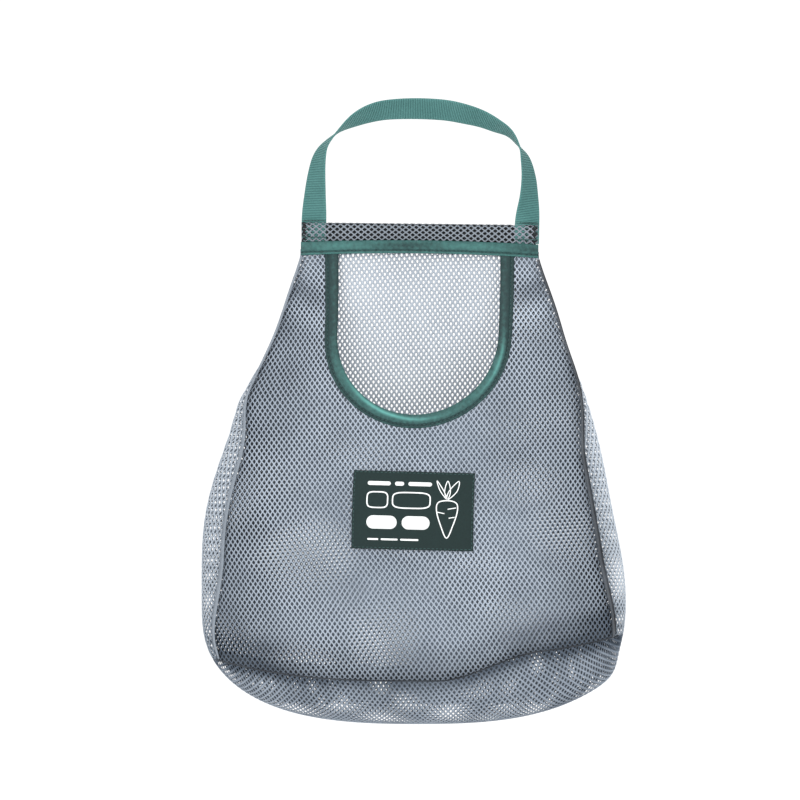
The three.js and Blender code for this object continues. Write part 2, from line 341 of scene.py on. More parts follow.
@dataclass(frozen=True)
class WebbingFinish:
    """Matte woven webbing, with painted shade in the furrows between its ribs and painted highlights on
    its paler edges.
    """

    name: str
    ground: Colour
    light: Colour
    weft_pitch: float = 0.8 * MM

    def build(self) -> bpy.types.Material:
        """Makes the material.

        Returns:
            The material, which reads the piece's cloth map and its shade.
        """
        s = Shader(self.name)
        _, across = s.cloth_uv()
        warp = (across * (2 * math.pi / self.weft_pitch)).sine() * 0.5 + 0.5
        fuzz = s.noise(900.0, 4.0)
        mottle = s.noise(60.0, 2.0)
        tone = s.attribute("shade") * 0.9 + warp * 0.1 + (fuzz - 0.5) * 0.4 + (mottle - 0.5) * 0.3
        s.set(Base_Color=s.mix(tone.clipped(), self.ground, self.light), Roughness=fuzz * 0.2 + 0.62)
        s.set(Sheen_Weight=0.05, Sheen_Roughness=0.45, Specular_IOR_Level=0.2)
        s.bump(warp * 0.5 + fuzz * 0.5, 0.14 * MM)
        return s.material


@dataclass(frozen=True)
class LabelFinish:
    """Close satin weave, crossed by fine warp and weft."""

    name: str
    ground: Colour
    light: Colour
    pitch: float = 0.5 * MM

    def build(self) -> bpy.types.Material:
        """Makes the material.

        Returns:
            The material, which reads the piece's cloth map.
        """
        s = Shader(self.name)
        along, across = s.cloth_uv()
        turn = 2 * math.pi / self.pitch
        weave = (along * turn).sine() * (across * turn).sine() * 0.5 + 0.5
        fuzz = s.noise(700.0, 3.0)
        tone = (weave * 0.35 + fuzz * 0.65).clipped()
        s.set(Base_Color=s.mix(tone, self.ground, self.light), Roughness=fuzz * 0.2 + 0.45)
        s.set(Sheen_Weight=0.04, Sheen_Roughness=0.4, Specular_IOR_Level=0.2)
        s.bump(weave, 0.08 * MM)
        return s.material


@dataclass(frozen=True)
class ThreadFinish:
    """Sewing thread, with its twist showing as fine bands."""

    name: str
    ground: Colour
    light: Colour

    def build(self) -> bpy.types.Material:
        """Makes the material.

        Returns:
            The material.
        """
        s = Shader(self.name)
        plies = s.noise(3200.0, 2.0)
        s.set(Base_Color=s.mix(plies, self.ground, self.light), Roughness=plies * 0.2 + 0.45)
        s.set(Specular_IOR_Level=0.4)
        s.bump(plies, 0.05 * MM)
        return s.material


@dataclass(frozen=True)
class FloorFinish:
    """Plain pale floor, barely mottled."""

    name: str
    tone: Colour
    pale: Colour

    def build(self) -> bpy.types.Material:
        """Makes the material.

        Returns:
            The material.
        """
        s = Shader(self.name)
        mottle = s.noise(6.0, 2.0)
        s.set(Base_Color=s.mix(mottle, self.tone, self.pale), Roughness=0.8)
        return s.material


# ---- mesh making ------------------------------------------------------------------------------


def make_object(name: str, points: Array, faces: Iterable[Array], material: bpy.types.Material,
                shade: Optional[Array] = None, uv: Optional[Array] = None) -> bpy.types.Object:
    """Makes a smooth mesh object at the origin from arrays.

    Args:
        name: the piece's name.
        points: one row of x, y and z for each point.
        faces: arrays of point numbers, each with one face a row.
        material: its only material.
        shade: a number for each point, from dark at 0 to pale at 1.
        uv: lengthways and crossways metres for each point.

    Returns:
        The new object.
    """
    faces = [np.asarray(f, dtype=np.int32) for f in faces if len(f)]
    loops = np.concatenate([f.ravel() for f in faces])
    sizes = np.concatenate([np.full(len(f), f.shape[1], dtype=np.int32) for f in faces])
    starts = np.concatenate([[0], np.cumsum(sizes)[:-1]]).astype(np.int32)
    mesh = bpy.data.meshes.new(name)
    mesh.vertices.add(len(points))
    mesh.vertices.foreach_set("co", np.asarray(points, dtype=np.float32).ravel())
    mesh.loops.add(len(loops))
    mesh.loops.foreach_set("vertex_index", loops)
    mesh.polygons.add(len(sizes))
    mesh.polygons.foreach_set("loop_start", starts)
    mesh.update(calc_edges=True)
    mesh.polygons.foreach_set("use_smooth", np.ones(len(sizes), dtype=bool))
    if shade is not None:
        layer = mesh.attributes.new("shade", "FLOAT", "POINT")
        layer.data.foreach_set("value", np.asarray(shade, dtype=np.float32))
    if uv is not None:
        layer = mesh.uv_layers.new(name="cloth")
        layer.data.foreach_set("uv", np.asarray(uv, dtype=np.float32)[loops].ravel())
    mesh.materials.append(material)
    mesh.validate()
    piece = bpy.data.objects.new(name, mesh)
    bpy.context.scene.collection.objects.link(piece)
    return piece


def loft(name: str, rings: Array, material: bpy.types.Material, shade: Optional[Array] = None,
         uv: Optional[Array] = None) -> bpy.types.Object:
    """Joins rings of points into one closed solid with capped ends.

    Args:
        name: the piece's name.
        rings: an array of rings, by points, by x, y and z.
        material: its material.
        shade: a number for each ring and point.
        uv: lengthways and crossways metres for each ring and point.

    Returns:
        The new object, facing outwards.
    """
    count, size = rings.shape[:2]
    r, i = np.meshgrid(np.arange(count - 1), np.arange(size), indexing="ij")
    j, up = (i + 1) % size, r + 1
    quads = np.stack([r * size + i, r * size + j, up * size + j, up * size + i], -1).reshape(-1, 4)
    flat = rings.reshape(-1, 3)
    a, b, c, d = (flat[quads[:, k]] for k in range(4))
    volume = float((a * np.cross(b, c)).sum() + (a * np.cross(c, d)).sum())
    first = np.arange(size)[::-1]
    faces = [quads, first[None], (first[::-1] + (count - 1) * size)[None]]
    if volume < 0:
        faces = [f[:, ::-1] for f in faces]
    return make_object(
        name,
        flat,
        faces,
        material,
        None if shade is None else np.broadcast_to(shade, (count, size)).ravel(),
        None if uv is None else uv.reshape(-1, 2),
    )


def unit(vectors: Array) -> Array:
    """The vectors, each of length 1."""
    return vectors / np.maximum(np.linalg.norm(vectors, axis=-1, keepdims=True), 1e-12)


def ease(value: Array, low: float, high: float) -> Array:
    """A smooth step from 0 at low to 1 at high."""
    t = np.clip((np.asarray(value, dtype=float) - low) / (high - low), 0, 1)
    return t * t * (3 - 2 * t)


def hump(value: Array, middle: float, spread: float) -> Array:
    """A soft hump that is 1 at its middle and fades over its spread."""
    return np.exp(-(((value - middle) / spread) ** 2))


def smooth_loop(points: Array, repeats: int) -> Array:
    """Adds points round a closed outline with a soft curve through them.

    Args:
        points: the outline's corner points.
        repeats: points wanted for each span.

    Returns:
        The fuller outline.
    """
    before, after = np.roll(points, 1, axis=0), np.roll(points, -1, axis=0)
    beyond = np.roll(points, -2, axis=0)
    out = []
    for t in np.arange(repeats) / repeats:
        out.append(
            0.5 * (2 * points + (after - before) * t
                   + (2 * before - 5 * points + 4 * after - beyond) * t**2
                   + (3 * points - before - 3 * after + beyond) * t**3)
        )
    return np.stack(out, 1).reshape(-1, points.shape[1])


def smooth_path(points: Array, repeats: int) -> Array:
    """Adds points along an open line with a soft curve through them.

    Args:
        points: the line's own points.
        repeats: points wanted for each span.

    Returns:
        The fuller line, from its first point to its last.
    """
    padded = np.concatenate([2 * points[:1] - points[1:2], points, 2 * points[-1:] - points[-2:-1]])
    out = []
    for a, b, c, d in zip(padded[:-3], padded[1:-2], padded[2:-1], padded[3:]):
        for t in np.arange(repeats) / repeats:
            out.append(
                0.5 * (2 * b + (c - a) * t + (2 * a - 5 * b + 4 * c - d) * t**2
                       + (3 * b - a - 3 * c + d) * t**3)
            )
    out.append(points[-1])
    return np.array(out)


@dataclass(frozen=True)
class Fold:
    """Soft folds that slant across the cloth and are strongest at one place.

    run is how fast the folds turn sideways and upwards, length sets their width, start where they
    begin, and place and spread say where they are, sideways and in height.
    """

    amount: float
    run: tuple[float, float]
    length: float
    place: tuple[float, float]
    spread: tuple[float, float]
    start: float = 0.0

    def at(self, x: Array, z: Array) -> Array:
        """How far the cloth stands out.

        Args:
            x: places sideways.
            z: heights.

        Returns:
            The distance at each, in metres.
        """
        wave = np.sin((self.run[0] * x + self.run[1] * z) / self.length + self.start)
        near = hump(x, self.place[0], self.spread[0]) * hump(z, self.place[1], self.spread[1])
        return self.amount * wave * near


def join_copies(name: str, template: bpy.types.Object, places: Array, along: Array, out: Array,
                material: bpy.types.Material) -> bpy.types.Object:
    """Copies one small shape many times into one piece.

    Args:
        name: the piece's name.
        template: the shape, lying along X with Z outwards; it is removed.
        places: where each copy goes.
        along: the direction of each copy's X.
        out: the direction of each copy's Z, near enough.
        material: the piece's material.

    Returns:
        The joined piece.
    """
    mesh = template.data
    shape = np.array([v.co[:] for v in mesh.vertices])
    quads = np.array([p.vertices[:] for p in mesh.polygons if len(p.vertices) == 4])
    tris = np.array([p.vertices[:] for p in mesh.polygons if len(p.vertices) == 3])
    x = unit(along)
    y = unit(np.cross(out, x))
    z = np.cross(x, y)
    points = (
        places[:, None]
        + shape[None, :, 0:1] * x[:, None]
        + shape[None, :, 1:2] * y[:, None]
        + shape[None, :, 2:3] * z[:, None]
    )
    step = (np.arange(len(places)) * len(shape))[:, None, None]
    faces = [(f[None] + step).reshape(-1, f.shape[1]) for f in (quads, tris) if len(f)]
    bpy.data.objects.remove(template)
    return make_object(name, points.reshape(-1, 3), faces, material)


def stitch_template(length: float, width: float) -> bpy.types.Object:
    """Models one stitch: a round thread with tapered ends that dive into the cloth.

    Args:
        length: from end to end.
        width: the thread's width.

    Returns:
        The stitch, lying along X.
    """
    bpy.ops.object.select_all(action="DESELECT")
    bpy.ops.mesh.primitive_cylinder_add(vertices=6, radius=width / 2, depth=length * 0.5)
    piece = bpy.context.object
    bpy.ops.object.mode_set(mode="EDIT")
    for sign in (-1, 1):
        bpy.ops.mesh.select_all(action="DESELECT")
        bpy.ops.object.mode_set(mode="OBJECT")
        for face in piece.data.polygons:
            face.select = face.normal.z * sign > 0.9
        bpy.ops.object.mode_set(mode="EDIT")
        bpy.ops.mesh.select_mode(type="FACE")
        bpy.ops.mesh.extrude_region_move(TRANSFORM_OT_translate={"value": (0, 0, sign * length / 4)})
        bpy.ops.transform.resize(value=(0.45, 0.45, 1.0))
    bpy.ops.mesh.select_all(action="SELECT")
    bpy.ops.mesh.quads_convert_to_tris()
    bpy.ops.mesh.tris_convert_to_quads()
    bpy.ops.object.mode_set(mode="OBJECT")
    for vertex in piece.data.vertices:
        x, y, z = vertex.co
        dive = (abs(z) / (length / 2)) ** 3 * width * 0.55
        vertex.co = (z, y, x - dive)
    return piece


# ---- the form that the cloth follows ----------------------------------------------------------


@dataclass(frozen=True)
class BagForm:
    """The hanging bag's shape, from the frame's sizes, with the slight lean of a soft bag.

    header_half, belly_half and belly_deep are half sizes, and heights are z values.
    """

    mid_y: float
    header_top: float
    tape_top: float
    header_foot: float
    header_half: float
    layer: float
    belly_z: float
    belly_half: float
    belly_deep: float
    lowest: float
    label_z: float
    side_swell: float = 1.1
    depth_swell: float = 1.3
    squareness: float = 2.73
    seam_rise: float = 30 * MM
    corner_rise: float = 43 * MM
    seam_hitch: float = 16 * MM
    seam_forward: float = math.radians(25)
    seam_return: float = math.radians(11)
    header_lean: float = 0.0115
    tape_bow: float = 2.2 * MM
    tape_reach: float = 22 * MM
    neck_length: float = 60 * MM
    fold_room: float = 10 * MM
    ripple: float = 1.0 * MM
    ripple_length: float = 17 * MM
    sway: float = 4.6 * MM
    neck_shift: float = 1.5 * MM
    neck_rise: float = 0.8 * MM
    sway_drop: float = 58 * MM
    sway_spread: float = 95 * MM
    right_slant: Fold = Fold(0.8 * MM, (0.8, -1), 15 * MM, (90 * MM, 0), (40 * MM, math.inf))
    left_slant: Fold = Fold(1.1 * MM, (0.6, 1), 13 * MM, (-100 * MM, 0), (35 * MM, math.inf))
    shoulder: Fold = Fold(1.0, (0.45, -1), 5.2 * MM, (74 * MM, -124 * MM), (17 * MM, 20 * MM), 0.6)
    shoulder_depth: float = 1.5 * MM
    label_room: tuple[float, float] = (48 * MM, 34 * MM)

    @classmethod
    def from_frame(cls) -> "BagForm":
        """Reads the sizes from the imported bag.

        Returns:
            The form.
        """
        front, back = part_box("header_front"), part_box("header_back")
        tape, body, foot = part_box("header_tape_front"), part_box("back_panel"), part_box("bottom_panel")
        mid_y = (front[0][1] + back[1][1]) / 2
        net = (front[1][1] - front[0][1]) / 2
        lowest = foot[0][2]
        belly_rise = 81.5 * MM
        return cls(
            mid_y=mid_y,
            header_top=front[1][2],
            tape_top=tape[1][2],
            header_foot=tape[0][2],
            header_half=front[1][0],
            layer=mid_y - front[0][1] - net,
            belly_z=lowest + belly_rise,
            belly_half=body[1][0] - net,
            belly_deep=body[1][1] - mid_y - net,
            lowest=lowest,
            label_z=(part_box("label")[0][2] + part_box("label")[1][2]) / 2,
        )

    def _swell(self, z: Array, power: float) -> Array:
        """How far the body has grown, from 0 under the header to 1 at its widest."""
        t = np.clip((self.header_foot - z) / (self.header_foot - self.belly_z), 0, 1)
        return np.sin(math.pi / 2 * t**power)

    def _taper(self, z: Array) -> Array:
        """How the body draws in below its widest level."""
        down = np.clip((self.belly_z - z) / (self.belly_z - self.lowest), 0, 1)
        return (1 - down**self.squareness) ** (1 / self.squareness)

    def half_width(self, z: Array) -> Array:
        """Half the body's width at a height."""
        grown = self.header_half + (self.belly_half - self.header_half) * self._swell(z, self.side_swell)
        return grown * self._taper(z)

    def half_depth(self, z: Array) -> Array:
        """Half the body's depth at a height."""
        grown = self.layer + (self.belly_deep - self.layer) * self._swell(z, self.depth_swell)
        return grown * self._taper(z)

    def middle(self, z: Array) -> Array:
        """How far the body's middle has swayed to the left at a height.

        Args:
            z: heights.

        Returns:
            The shift at each height, in metres.
        """
        level = (self.header_foot + self.belly_z) / 2 - self.sway_drop
        neck = self.neck_shift * ease(z, level, self.header_foot)
        return neck - self.sway * hump(z, level, self.sway_spread)

    def settle(self, points: Array) -> Array:
        """Leans and bows the header, and lays in the folds of soft cloth.

        Args:
            points: points on the even form.

        Returns:
            The points as they hang.
        """
        x, y, z = (points[..., k] for k in range(3))
        upper = ease(z, self.belly_z, self.header_foot)
        dz = -x * self.header_lean * upper + self.neck_rise * upper**4
        near_tape = hump(z, self.header_foot, self.tape_reach)
        above = ease(z, self.header_top - 1 * MM, self.tape_top)
        dz -= self.tape_bow * (x / self.header_half) ** 2 * near_tape * above
        loose = ease(-z, -self.header_foot, -self.header_foot + self.neck_length)
        out = np.where(y < self.mid_y, -1.0, 1.0)
        waves = self._folds(x, z, out) + self._seam_dip(x, z, out)
        shown = loose * np.clip(np.abs(y - self.mid_y) / self.fold_room, 0, 1)
        at_side = loose * np.abs(x / self.belly_half) ** 6
        ripple = self.ripple * np.sin(z / self.ripple_length + 1.0) * at_side
        dx = self.middle(z) + ripple + self._side_folds(x, z)
        return np.stack([x + dx, y + out * waves * shown, z + dz], -1)

    def _side_folds(self, x: Array, z: Array) -> Array:
        """How the left side is drawn in at the shoulder and the right bottom corner stands out.

        Args:
            x: places sideways.
            z: heights.

        Returns:
            The sideways shift at each, in metres.
        """
        share = x / self.half_width(z).clip(1 * MM)
        left, right = ease(-share, 0.4, 1), ease(share, 0.3, 1)
        below, above = z - self.header_foot, z - self.lowest
        waist = 3.2 * hump(below, -56 * MM, 30 * MM) - 2.2 * hump(below, -97 * MM, 15 * MM)
        corner = 4.4 * hump(above, 30 * MM, 13 * MM) - 1.2 * hump(below, -60 * MM, 20 * MM)
        return MM * (waist * left + corner * right)

    def _folds(self, x: Array, z: Array, out: Array) -> Array:
        """Shallow folds of the cloth, outwards in metres.

        Args:
            x: places sideways.
            z: heights.
            out: -1 on the front and 1 on the back.

        Returns:
            How far the cloth stands out at each.
        """
        low = 0.9 * MM * np.sin(x / (24 * MM) + z / (31 * MM) + out)
        place = (45 * MM, self.lowest + 52 * MM)
        pulled = Fold(1.5 * MM, (1, -0.5), 8 * MM, place, (50 * MM, 22 * MM)).at(x, z)
        pulled *= ease(self.over_rim(x, z), 0, 18 * MM)
        creases = self.shoulder_depth * self.shoulder.at(np.abs(x), z)
        waves = low + self.right_slant.at(x, z) + self.left_slant.at(x, z) + pulled + creases
        sag = -2.0 * MM * hump(x, 0, 60 * MM) * hump(z, -225 * MM, 20 * MM)
        wide, tall = self.label_room
        held = np.exp(-((x / wide) ** 6) - (((z - self.label_z) / tall) ** 6)) * (out < 0)
        return waves * (1 - 0.9 * held) + sag

    def over_rim(self, x: Array, z: Array) -> Array:
        """Height over the bottom seam, for places sideways and heights."""
        return z - self.rim(np.clip(x / self.half_width(z).clip(1 * MM), -1, 1))

    def _seam_dip(self, x: Array, z: Array, out: Array) -> Array:
        """How the cloth dips in along its seams and stands out above the bottom one.

        Args:
            x: places sideways.
            z: heights.
            out: -1 on the front and 1 on the back.

        Returns:
            How far the cloth stands out at each.
        """
        gap = self.over_rim(x, z)
        pucker = 0.6 + 0.4 * np.sin(x / (6.5 * MM) + 1.5 * np.sin(x / (19 * MM)))
        brow = (1.2 + 1.6 * ease(x, 10 * MM, 70 * MM)) * hump(gap, 11 * MM, 7 * MM) * pucker
        side = np.abs(x) - self.half_width(z) * np.sin(self.seam_turn(z))
        side_dip = 1.3 * hump(side, 0, 3 * MM) * (out < 0)
        return MM * (brow - 2.2 * hump(gap, 0, 3.2 * MM) - side_dip)

    def seam_shadow(self, points: Array) -> Array:
        """Painted shadow near the bottom and side seams, from 0 to 1, standing for the shade of the
        doubled cloth there.

        Args:
            points: places on the hanging cloth.

        Returns:
            The shadow at each.
        """
        x, _, z = points.T
        gap = self.over_rim(x, z)
        bottom = hump(gap, 0, 7 * MM) + 0.5 * hump(gap, 14 * MM, 9 * MM)
        bottom *= 0.55 + 0.45 * ease(np.abs(x), 10 * MM, 100 * MM)
        side = x - self.middle(z) - self.half_width(z) * np.sin(self.seam_turn(z))
        right = 0.35 * hump(side, 0, 6 * MM) * ease(-z, -self.header_foot + 40 * MM, 0.2)
        return np.clip(bottom + right, 0, 1)

    def rim(self, sideways: Array) -> Array:
        """Height of the bottom seam, with sideways from -1 at the left to 1 at the right.

        Args:
            sideways: places, as shares of the half width.

        Returns:
            The seam's height at each.
        """
        corner = (self.corner_rise - self.seam_rise) * np.abs(sideways) ** 3
        hitch = self.seam_hitch * ease(sideways, 0.12, 0.6)
        return self.lowest + self.seam_rise + corner + hitch

    def seam_turn(self, z: Array) -> Array:
        """Angle from the front's middle to the side seams, which lie a little to the front.

        Args:
            z: heights.

        Returns:
            The angle at each, in radians.
        """
        drawn = ease(-z, 50 * MM - self.header_foot, 85 * MM - self.belly_z - 175 * MM)
        lower = ease(-z, -self.belly_z - 30 * MM, -self.belly_z + 45 * MM)
        return math.pi / 2 - self.seam_forward * drawn + self.seam_return * lower

    def arc(self, turn: Array, z: Array) -> Array:
        """Length round the body from its middle to an angle, at a height.

        Args:
            turn: angles from the front's or the back's middle.
            z: heights.

        Returns:
            The length to each angle.
        """
        wide, deep = self.half_width(z), self.half_depth(z)
        nodes, weights = np.polynomial.legendre.leggauss(6)
        total = np.zeros(np.broadcast(turn, z).shape)
        for node, weight in zip(nodes, weights):
            t = turn * (node + 1) / 2
            total += weight * np.hypot(wide * np.cos(t), deep * np.sin(t))
        return total * turn / 2

    def turn_at(self, arc: Array, z: Array) -> Array:
        """The angle at a length round the body from its middle, at a height.

        Args:
            arc: lengths round the body.
            z: heights.

        Returns:
            The angle at each length, in radians.
        """
        wide, deep = self.half_width(z), self.half_depth(z)
        turn = np.clip(arc / np.maximum(wide, 1e-6), -1.4, 1.4)
        for _ in range(6):
            speed = np.hypot(wide * np.cos(turn), deep * np.sin(turn))
            turn = np.clip(turn - (self.arc(turn, z) - arc) / np.maximum(speed, 4 * MM), -2.2, 2.2)
        return turn

    def even_point(self, turn: Array, z: Array, side: Side) -> Array:
        """A point of the even form, with the angle running to the right as that side is faced.

        Args:
            turn: angles from the side's middle.
            z: heights.
            side: the front or the back.

        Returns:
            The points.
        """
        x = -side.value * self.half_width(z) * np.sin(turn)
        y = self.mid_y + side.value * self.half_depth(z) * np.cos(turn)
        return np.stack(np.broadcast_arrays(x, y, z), -1)

    @cached_property
    def base_table(self) -> tuple[Array, Array, Array, Array]:
        """The bottom's shape, for a row of sideways places.

        Returns:
            The places, the length along the bottom's middle to each, half the length under it from
            seam to seam, and the depth at equal shares of that length.
        """
        theta = np.linspace(-math.pi / 2, math.pi / 2, 241)
        rim = self.rim(np.sin(theta))
        taper = self._taper(rim)
        x_rim, y_rim = self.belly_half * taper * np.sin(theta), self.belly_deep * taper * np.cos(theta)
        xs = (x_rim[-1] - x_rim[0]) / 2 * np.sin(np.linspace(-math.pi / 2, math.pi / 2, 161))
        xs += (x_rim[-1] + x_rim[0]) / 2
        deep = np.interp(xs, x_rim, y_rim)
        swing = np.sin(np.linspace(-math.pi / 2, math.pi / 2, 121))
        ys = deep[:, None] * swing[None]
        zs = self.base_height(xs[:, None], ys)
        steps = np.hypot(np.diff(ys, axis=1), np.diff(zs, axis=1))
        arc = np.concatenate([np.zeros((len(xs), 1)), np.cumsum(steps, axis=1)], axis=1)
        half = arc[:, -1] / 2
        share = np.linspace(-1, 1, 121)
        depth = np.array([np.interp((share + 1) * h, a, y) for a, y, h in zip(arc, ys, half)])
        middle = self.base_height(xs, 0.0 * xs)
        out = np.concatenate([[0], np.cumsum(np.hypot(np.diff(xs), np.diff(middle)))])
        return xs, out - np.interp(0, xs, out), half, depth

    def base_height(self, x: Array, y: Array) -> Array:
        """Height of the bottom under a place, with y from the middle.

        Args:
            x: places sideways.
            y: places from the middle towards the back.

        Returns:
            The height at each.
        """
        t = np.clip(np.hypot(x / self.belly_half, y / self.belly_deep), 0, 1)
        drop = (1 - t**self.squareness) ** (1 / self.squareness)
        return self.belly_z - (self.belly_z - self.lowest) * drop

    def base_reach(self, out: Array) -> Array:
        """Half the bottom's length from seam to seam, at a length sideways along its middle."""
        _, outs, half, _ = self.base_table
        return np.interp(out, outs, half)

    def base_point(self, out: Array, along: Array) -> Array:
        """A point of the hanging bottom.

        Args:
            out: length to the right along its middle.
            along: length from its middle towards the front.

        Returns:
            The point.
        """
        xs, outs, half, depth = self.base_table
        out = np.clip(out, outs[0], outs[-1])
        i = np.clip(np.searchsorted(outs, out) - 1, 0, len(xs) - 2)
        f = (out - outs[i]) / (outs[i + 1] - outs[i])
        reach = np.maximum(np.interp(out, outs, half), 1e-6)
        row = (np.clip(-along / reach, -1, 1) + 1) / 2 * (depth.shape[1] - 1)
        j = np.minimum(row.astype(int), depth.shape[1] - 2)
        g = row - j
        near = depth[i, j] * (1 - g) + depth[i, j + 1] * g
        far = depth[i + 1, j] * (1 - g) + depth[i + 1, j + 1] * g
        y = near * (1 - f) + far * f
        x = np.interp(out, outs, xs)
        return self.settle(np.stack([x, self.mid_y + y, self.base_height(x, y)], -1))

    def front_point(self, x: Array, z: Array) -> Array:
        """A point of the hanging front, by its place on the even form."""
        turn = np.arcsin(np.clip(x / self.half_width(z), -1, 1))
        return self.settle(self.even_point(turn, z, Side.FRONT))

    def front_frame(self, x: Array, z: Array) -> tuple[Array, Array]:
        """Points of the front with their outward directions.

        Args:
            x: sideways places.
            z: heights.

        Returns:
            The points and the directions.
        """
        step = 0.5 * MM
        dx = self.front_point(x + step, z) - self.front_point(x - step, z)
        dz = self.front_point(x, z + step) - self.front_point(x, z - step)
        return self.front_point(x, z), unit(np.cross(dx, dz))


@dataclass(frozen=True)
class Mouth:
    """The mouth's outline on the even form: straight sides over a half round."""

    half: float
    spring: float
    top: float
    tape: float

    @classmethod
    def from_frame(cls, form: BagForm) -> "Mouth":
        """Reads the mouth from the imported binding.

        Args:
            form: the bag's form.

        Returns:
            The mouth.
        """
        low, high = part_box("mouth_binding")
        tape = 9 * MM
        half = (high[0] - low[0]) / 2 - tape
        return cls(half=half, spring=low[2] + tape + half, top=form.header_foot, tape=tape)

    def reach(self, x: Array, z: Array) -> Array:
        """Distance outside the mouth's edge, negative inside it.

        Args:
            x: places sideways.
            z: heights.

        Returns:
            The distance at each.
        """
        lower = np.hypot(x, z - self.spring)
        return np.where(z > self.spring, np.abs(x), lower) - self.half

    def route(self, grow: float, start: float, steps: int) -> tuple[Array, Array]:
        """Places along the edge from its top left, down and round to its top right.

        Args:
            grow: how far outside the edge.
            start: height of both ends.
            steps: number of places.

        Returns:
            The x and z of each place.
        """
        straight = start - self.spring
        bend = math.pi * (self.half + 4 * MM)
        at = np.linspace(0, 2 * straight + bend, steps)
        radius = self.half + grow
        turn = np.clip((at - straight) / bend, 0, 1) * math.pi
        x = -radius * np.cos(turn)
        z = self.spring - radius * np.sin(turn)
        z = np.where(at < straight, start - at, z)
        z = np.where(at > straight + bend, self.spring + at - straight - bend, z)
        return x, z


# ---- net ---------------------------------------------------------------------------------------


@dataclass(frozen=True)
class Region:
    """A flat cut of net and how it lies: what it covers, where its edge is and where each place goes."""

    low: tuple[float, float]
    high: tuple[float, float]
    covers: Callable[[Array, Array], Array]
    hold: Callable[[Array, Array], tuple[Array, Array]]
    lay: Callable[[Array, Array], Array]
    shade: Callable[[Array], Array]


